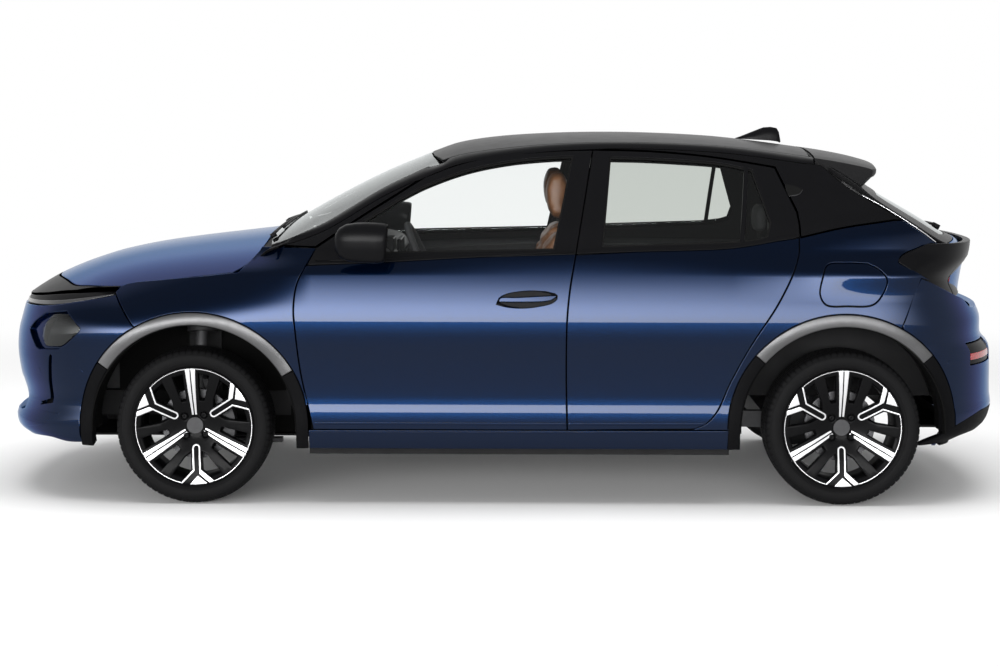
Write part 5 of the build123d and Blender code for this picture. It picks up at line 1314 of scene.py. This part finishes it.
def points_of(mesh):
    co = np.empty(len(mesh.vertices) * 3)
    mesh.vertices.foreach_get("co", co)
    return co.reshape(-1, 3)


def plump(pads):
    """Remeshes the cushions, swells them together as pressurised cloth, and keeps each move under SWELL."""
    for o in pads:
        m = o.modifiers.new("remesh", "REMESH")
        m.mode = "VOXEL"
        m.voxel_size = VOXEL
        applied(o)
    starts = [points_of(o.data) for o in pads]
    for o in pads:
        cloth = o.modifiers.new("cloth", "CLOTH")
        s = cloth.settings
        s.use_pressure = True
        s.uniform_pressure_force = PRESSURE
        s.effector_weights.gravity = 0
        s.quality = 4
    for number in range(1, CLOTH_FRAMES + 1):
        scene.frame_set(number)
    graph = bpy.context.evaluated_depsgraph_get()
    for o, before in zip(pads, starts):
        move = points_of(o.evaluated_get(graph).data) - before
        far = np.linalg.norm(move, axis=1, keepdims=True)
        o.modifiers.clear()
        after = before + move * np.minimum(1, SWELL / np.maximum(far, 1e-9))
        o.data.vertices.foreach_set("co", after.ravel())
    scene.frame_set(1)
    for o in pads:
        o.data.polygons.foreach_set("use_smooth", [True] * len(o.data.polygons))


def stitched(o, lines, depth=0.006, width=0.009):
    """Draws sewn channels into a cushion; each line is an axis and its place on it, in metres."""
    for v in o.data.vertices:
        for axis, at in lines:
            d = v.co[axis] - at
            if abs(d) < 3 * width:
                v.co -= v.normal * depth * math.exp(-(d / width) ** 2)


SEAT_Y = -365
cushion_form = [(-128, 446, 0, 0), (-138, 500, 0, 0.4), (-104, 540, 0, 1), (40, 532, 0, 1), (230, 512, 0, 1),
                (370, 484, 0, 0.6), (380, 420, 0, 0), (120, 432, 0, 0)]
back_form = [(262, 520, -0.4, 0), (204, 628, -1, 0), (186, 820, -1, 0), (180, 960, -0.8, 0),
             (206, 1064, -0.2, 0),
             (264, 1076, 0, 0), (330, 900, 0, 0), (358, 700, 0, 0), (362, 540, 0, 0)]
rest_form = [(206, 1104, 0, 0), (186, 1150, -0.3, 0), (178, 1222, -0.3, 0), (196, 1286, 0, 0),
             (246, 1290, 0, 0),
             (266, 1238, 0, 0), (268, 1104, 0, 0)]
bench_form = [(662, 440, 0, 0), (640, 500, 0, 0), (652, 560, 0, 0.3), (820, 556, 0, 1), (1010, 530, 0, 1),
              (1040, 440, 0, 0)]
bench_back_form = [(1040, 575, 0, 0), (1070, 700, -0.6, 0), (1104, 960, -0.6, 0), (1128, 990, 0, 0),
                   (1164, 988, 0, 0),
                   (1146, 600, 0, 0)]
bench_rest_form = [(1104, 1014, 0, 0), (1098, 1100, 0, 0), (1114, 1134, 0, 0), (1144, 1132, 0, 0),
                   (1152, 1090, 0, 0),
                   (1146, 1014, 0, 0)]
pads = [make("seat_cushion_left", *pad(cushion_form, 226, SEAT_Y, 16, 30), TAN),
        make("seat_back_left", *pad(back_form, 214, SEAT_Y, 12, 34, 0.16), TAN),
        make("seat_headrest_left", *pad(rest_form, 116, SEAT_Y, 22, 8, 0.10), TAN),
        make("rear_bench", *pad(bench_form, 520, 0, 12, 10, rows=31), CLOTH),
        make("rear_bench_back", *pad(bench_back_form, 520, 0, 12, 10, 0.05, rows=31), CLOTH),
        make("rear_headrest_left", *pad(bench_rest_form, 104, -300, 22, 0, 0.06), CLOTH)]
plump(pads)
seat_lines = [(1, (SEAT_Y - 118) * 0.001), (1, (SEAT_Y + 118) * 0.001)]
stitched(pads[0], seat_lines + [(0, 0.02), (0, 0.14), (0, 0.26)])
stitched(pads[1], seat_lines + [(2, 0.72), (2, 0.84), (2, 0.96)])
stitched(pads[3], [(1, 0.17), (1, -0.17), (0, 0.80)])
stitched(pads[4], [(1, 0.17), (1, -0.17)])
for o, shift in zip(pads[:], (0.73, 0.73, 0.73, 0, 0, 0.60)):
    if shift:
        twin = bpy.data.objects.new(o.name.replace("left", "right"), o.data.copy())
        twin.data.transform(Matrix.Translation((0, shift, 0)))
        scene.collection.objects.link(twin)
        pads.append(twin)
for o in pads:
    m = o.modifiers.new("finer", "SUBSURF")
    m.levels = m.render_levels = 1
    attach(o, "body")
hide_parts("front_seats")
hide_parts("rear_seat")
frames = []
for middle in (SEAT_Y, -SEAT_Y):
    frames += [tube([(226, middle + y, 1090), (224, middle + y, 1196)], 6.5, 12) for y in (-42, 42)]
    for y in (-170, 170):
        frames.append(brick((-96, middle + y - 16, 246), (372, middle + y + 16, 292)))
        frames.append(brick((-60, middle + y - 9, 292), (340, middle + y + 9, 424)))
    frames += [brick((-90, middle + y - 9, 372), (384, middle + y + 9, 446)) for y in (-231, 231)]
frames += [tube([(1128, y, 970), (1128, y, 1026)], 6, 12) for y in (-338, -262, 262, 338)]
solid("seat_frames", frames, SATIN, flat=True, width=4)

# ---------------------------------------------------------------- dashboard and controls
def swept(profile, rows):
    """A side profile carried across the car; each row is (y, share of the profile's height, shift in x)."""
    base = min(z for x, z in profile)
    verts = [(x + dx, y, base + (z - base) * tall) for y, tall, dx in rows for x, z in profile]
    return verts, strip_faces(len(rows), len(profile), caps=True)


dash_form = smooth([(-846, 970), (-760, 992), (-640, 1002), (-520, 996), (-462, 978), (-436, 950)], 16)
dash_form += smooth([(-430, 940), (-452, 916), (-470, 900), (-462, 860), (-448, 800)], 16)
dash_form += smooth([(-452, 780), (-500, 730), (-560, 690)], 16) + [(-846, 668)]
dash = make("dashboard_v", *swept(dash_form, [(-676, 0.97, -12), (-660, 1, 0), (-200, 1, 0),
                                              (-150, 0.985, -8),
                                              (150, 0.985, -8), (200, 1, 0), (660, 1, 0), (676, 0.97, -12)]),
                                              DASH)
put(dash, "body", "dashboard")
console_form = [(-560, 690), (-470, 770), (-430, 740), (-360, 612), (-240, 590), (-60, 588), (30, 640),
                (240, 636),
                (262, 600), (290, 345), (-826, 388), (-840, 430), (-840, 660)]
solid("centre_console", [swept(console_form, [(-96, 0.99, 0), (-88, 1, 0), (88, 1, 0), (96, 0.99, 0)])],
      DASH,
      flat=True, width=8)
solid("dash_vents", [brick((-452, -640, 868), (-436, -470, 912)), brick((-452, 470, 868), (-436, 640, 912)),
                     brick((-452, -130, 862), (-434, 130, 882))], SATIN, flat=True, width=4)
solid("dash_screens", [brick((-446, -140, 884), (-428, 140, 1000)),
                       brick((-520, -470, 968), (-440, -270, 1024))],
      GLOSS, flat=True, width=6)
v, f = lathe([(0.01, -9), (26, -8), (30, -2), (30, 6), (0.01, 7)], 40)
knob = make("console_dial", [(x - 170, z, y + 596) for x, y, z in v], f, CHROME)
fix_normals(knob.data)
put(knob, "body")
bins = join(tube([(-60, -30, 590), (-60, -30, 596)], 38, 40), tube([(-60, 40, 590), (-60, 40, 596)], 0.5, 6))
put(make("cup_holder", *bins, GLOSS), "body")

# steering wheel: a rim, four spokes and a plain boss, tilted to the driver
RIM_R, WHEEL_TILT = 182, 66
rim = [(RIM_R * math.cos(a), RIM_R * math.sin(a), 0) for a in (2 * math.pi * i / 96 for i in range(97))]
hub_v, hub_f = lathe([(0.01, 6), (40, 4), (58, -4), (64, -16), (58, -44), (44, -50), (0.01, -50)], 40)
spokes = [brick((-14, -176, -26), (20, -50, -12)), brick((-14, 50, -26), (20, 176, -12)),
          brick((50, -18, -26), (176, -4, -12)), brick((50, 4, -26), (176, 18, -12))]
wheel_v = make("steering_wheel_v", *join(tube(rim, 14.5, 16, False), ([(x, z, y) for x, y, z in hub_v],
                                                                      [q[::-1] for q in hub_f]), *spokes),
                                                                      DASH)
wheel_v.data.transform(Matrix.Translation((-0.315, -0.370,
                                           0.905)) @ Matrix.Rotation(math.radians(WHEEL_TILT), 4, "Y"))
split_edges(wheel_v, 40)
put(wheel_v, "steering", "steering_wheel")
solid("column_and_stalks", [tube([(-352, -370, 890), (-350, y, z)], [9, 6], 12) for y,
                            z in ((-560, 915), (-190, 915))]
      + [tube([(-330, -370, 898), (-470, -370, 836)], 46, 32)], SATIN)

# rear-view mirror on its stem, and the driver's pedals
mirror_top = screen(-384, 0)[2] - 26
solid("inner_mirror", [brick((-396, -112, mirror_top - 58), (-374, 112, mirror_top)),
                       tube([(-388, 0, mirror_top - 20), (-404, 0, screen(-404, 0)[2] - 7)], 8, 12)],
      GLOSS, flat=True, width=9)
solid("pedals", [brick((-700, -340, 360), (-684, -290, 440)), brick((-700, -450, 380), (-684, -380, 440))]
      + [tube([(-690, y, 420), (-760, y, 640)], 8, 10) for y in (-315, -415)], SATIN,
      flat=True)

# ---------------------------------------------------------------- the front wheel houses' inner walls
solid("front_wheel_houses", [brick((-1560, y, 230), (-850, y + 6, 720)) for y in (-476, 470)], LINER,
      flat=True)

# ---------------------------------------------------------------- pieces that keep their solid form
for finish, nodes in ((UNDER, ("floor_pan", "front_frame", "under_trays")), (LINER, ("arch_liners",)),
                      (IRON, ("front_subframe", "rear_axle_beam", "engine_block", "knuckle_left",
                              "knuckle_right"))):
    for node in nodes:
        materials = bpy.data.objects[node].data.materials
        materials.clear()
        materials.append(finish)

# ---------------------------------------------------------------- floor, light and camera
# the world's strength: at the horizon for diffuse rays, and at the top
LOW_FILL, SKY_TOP = 0.33, 0.30
# the long low light: its strength, height, softness and width, and the direction of its middle
BAND_LIGHT, BAND_HEIGHT, BAND_EDGE, BAND_WIDTH = 22.0, 0.26, 3.2, 5.0
BAND_COS, BAND_SIN = 0.966, 0.259
# the softer light on the far side: where it begins, where it is full, and its strength
FAR_FROM, FAR_TO, FAR_LIGHT = 0.27, 0.45, 1.0
FLOOR_HALF, FADE_FROM, FADE_TO = 60000, 3.0, 7.0


def calc(tree, operation, a, b=0.0, clamped=False):
    """A maths node; a and b are numbers or outputs."""
    n = tree.nodes.new("ShaderNodeMath")
    n.operation = operation
    n.use_clamp = clamped
    for socket, value in zip(n.inputs, (a, b)):
        if isinstance(value, (int, float)):
            socket.default_value = value
        else:
            tree.links.new(value, socket)
    return n.outputs[0]


def ramp(tree, value, low, high, first, last):
    """A smooth step from first to last as the value goes from low to high."""
    n = tree.nodes.new("ShaderNodeMapRange")
    n.interpolation_type = "SMOOTHSTEP"
    for key, number in (("From Min", low), ("From Max", high), ("To Max", last)):
        n.inputs[key].default_value = number
    tree.links.new(value, n.inputs["Value"])
    if isinstance(first, (int, float)):
        n.inputs["To Min"].default_value = first
    else:
        tree.links.new(first, n.inputs["To Min"])
    return n.outputs["Result"]


def indirect(tree, path):
    """1 for rays from a reflection or through glass."""
    return calc(tree, "MAXIMUM", path.outputs["Is Glossy Ray"], path.outputs["Is Transmission Ray"])


# the floor is pale and keeps the shadow; far away it meets the backdrop's white
FLOOR = material("floor", (0.93, 0.93, 0.93), 0.9, 0, 0, 0.1, (3, 0.02), None, None, (0.93, 0.93, 0.93), 0.0)
t = FLOOR.node_tree
where, far, white, mix, path = [t.nodes.new("ShaderNode" + kind) for kind in (
    "TexCoord", "VectorMath", "Emission", "MixShader", "LightPath")]
far.operation = "LENGTH"
t.links.new(where.outputs["Object"], far.inputs[0])
seen = calc(t, "MAXIMUM", path.outputs["Is Camera Ray"], indirect(t, path))
t.links.new(calc(t, "MULTIPLY", ramp(t, far.outputs["Value"], FADE_FROM, FADE_TO, 0.0, 1.0), seen),
            mix.inputs["Fac"])
t.links.new(t.nodes["Principled BSDF"].outputs[0], mix.inputs[1])
t.links.new(white.outputs[0], mix.inputs[2])
t.links.new(mix.outputs[0], t.nodes["Material Output"].inputs["Surface"])
corners = [(x * FLOOR_HALF, y * FLOOR_HALF, 0) for x, y in ((-1, -1), (1, -1), (1, 1), (-1, 1))]
make("ground", corners, [(0, 1, 2, 3)], FLOOR)

scene.world = world = bpy.data.worlds.new("studio")
world.use_nodes = True
t = world.node_tree
t.nodes.clear()
out, sky, where, split, path = [t.nodes.new("ShaderNode" + kind) for kind in (
    "OutputWorld", "Background", "TexCoord", "SeparateXYZ", "LightPath")]
t.links.new(where.outputs["Generated"], split.inputs[0])
x, y, z = split.outputs
horizon = calc(t, "ADD", calc(t, "MULTIPLY", indirect(t, path), 1 - LOW_FILL), LOW_FILL)
dim = ramp(t, z, 0.20, 0.62, horizon, SKY_TOP)
# a long low light along the car's left side, brightest at the horizon
fall = calc(t, "POWER", calc(t, "MAXIMUM", calc(t, "MULTIPLY", z, 1 / BAND_HEIGHT), 0.0), BAND_EDGE)
glow = calc(t, "MULTIPLY", calc(t, "EXPONENT", calc(t, "MULTIPLY", fall, -1.0)),
            calc(t, "GREATER_THAN", z, 0.0))
near = calc(t, "ADD", calc(t, "MULTIPLY", y, -BAND_COS), calc(t, "MULTIPLY", x, -BAND_SIN), True)
band = calc(t, "MULTIPLY", glow, calc(t, "MULTIPLY", calc(t, "POWER", near, BAND_WIDTH), BAND_LIGHT))
# a softer light high on the far side, which the bonnet and the wings' shoulders show
far_light = calc(t, "MULTIPLY", ramp(t, z, FAR_FROM, FAR_TO, 0.0, FAR_LIGHT),
                 calc(t, "MULTIPLY", y, 1.0, True))
total = calc(t, "ADD", dim, calc(t, "ADD", band, far_light))
# the camera itself sees plain white
camera_ray = path.outputs["Is Camera Ray"]
strength = calc(t, "ADD", camera_ray, calc(t, "MULTIPLY", total, calc(t, "SUBTRACT", 1.0, camera_ray)))
sky.inputs["Color"].default_value = (1, 1, 1, 1)
t.links.new(strength, sky.inputs["Strength"])
t.links.new(sky.outputs["Background"], out.inputs["Surface"])
world.cycles.sampling_method = "MANUAL"
world.cycles.sample_map_resolution = 1024

light = bpy.data.lights.new("top_light", "AREA")
light.shape, light.size, light.size_y, light.energy = "RECTANGLE", 7.0, 4.0, 300
top = bpy.data.objects.new("top_light", light)
scene.collection.objects.link(top)
top.location = (0.0, -0.5, 5.5)
top.rotation_euler = (-top.location).to_track_quat("-Z", "Y").to_euler()
top.visible_glossy = False

camera = bpy.data.objects.new("camera", bpy.data.cameras.new("camera"))
scene.collection.objects.link(camera)
camera.data.lens, camera.data.sensor_width, camera.data.clip_end = 76.04, 36, 300
turn, tilt, roll = [math.radians(a) for a in (0.387, 90 - 6.044, 0.142)]
camera.matrix_world = (Matrix.Translation((0.0489, -9.0188, 1.5438)) @ Matrix.Rotation(turn, 4, "Z")
                       @ Matrix.Rotation(tilt, 4, "X") @ Matrix.Rotation(roll, 4, "Z"))
scene.camera = camera
scene.render.resolution_x, scene.render.resolution_y = 1000, 666
scene.view_settings.view_transform = "Standard"
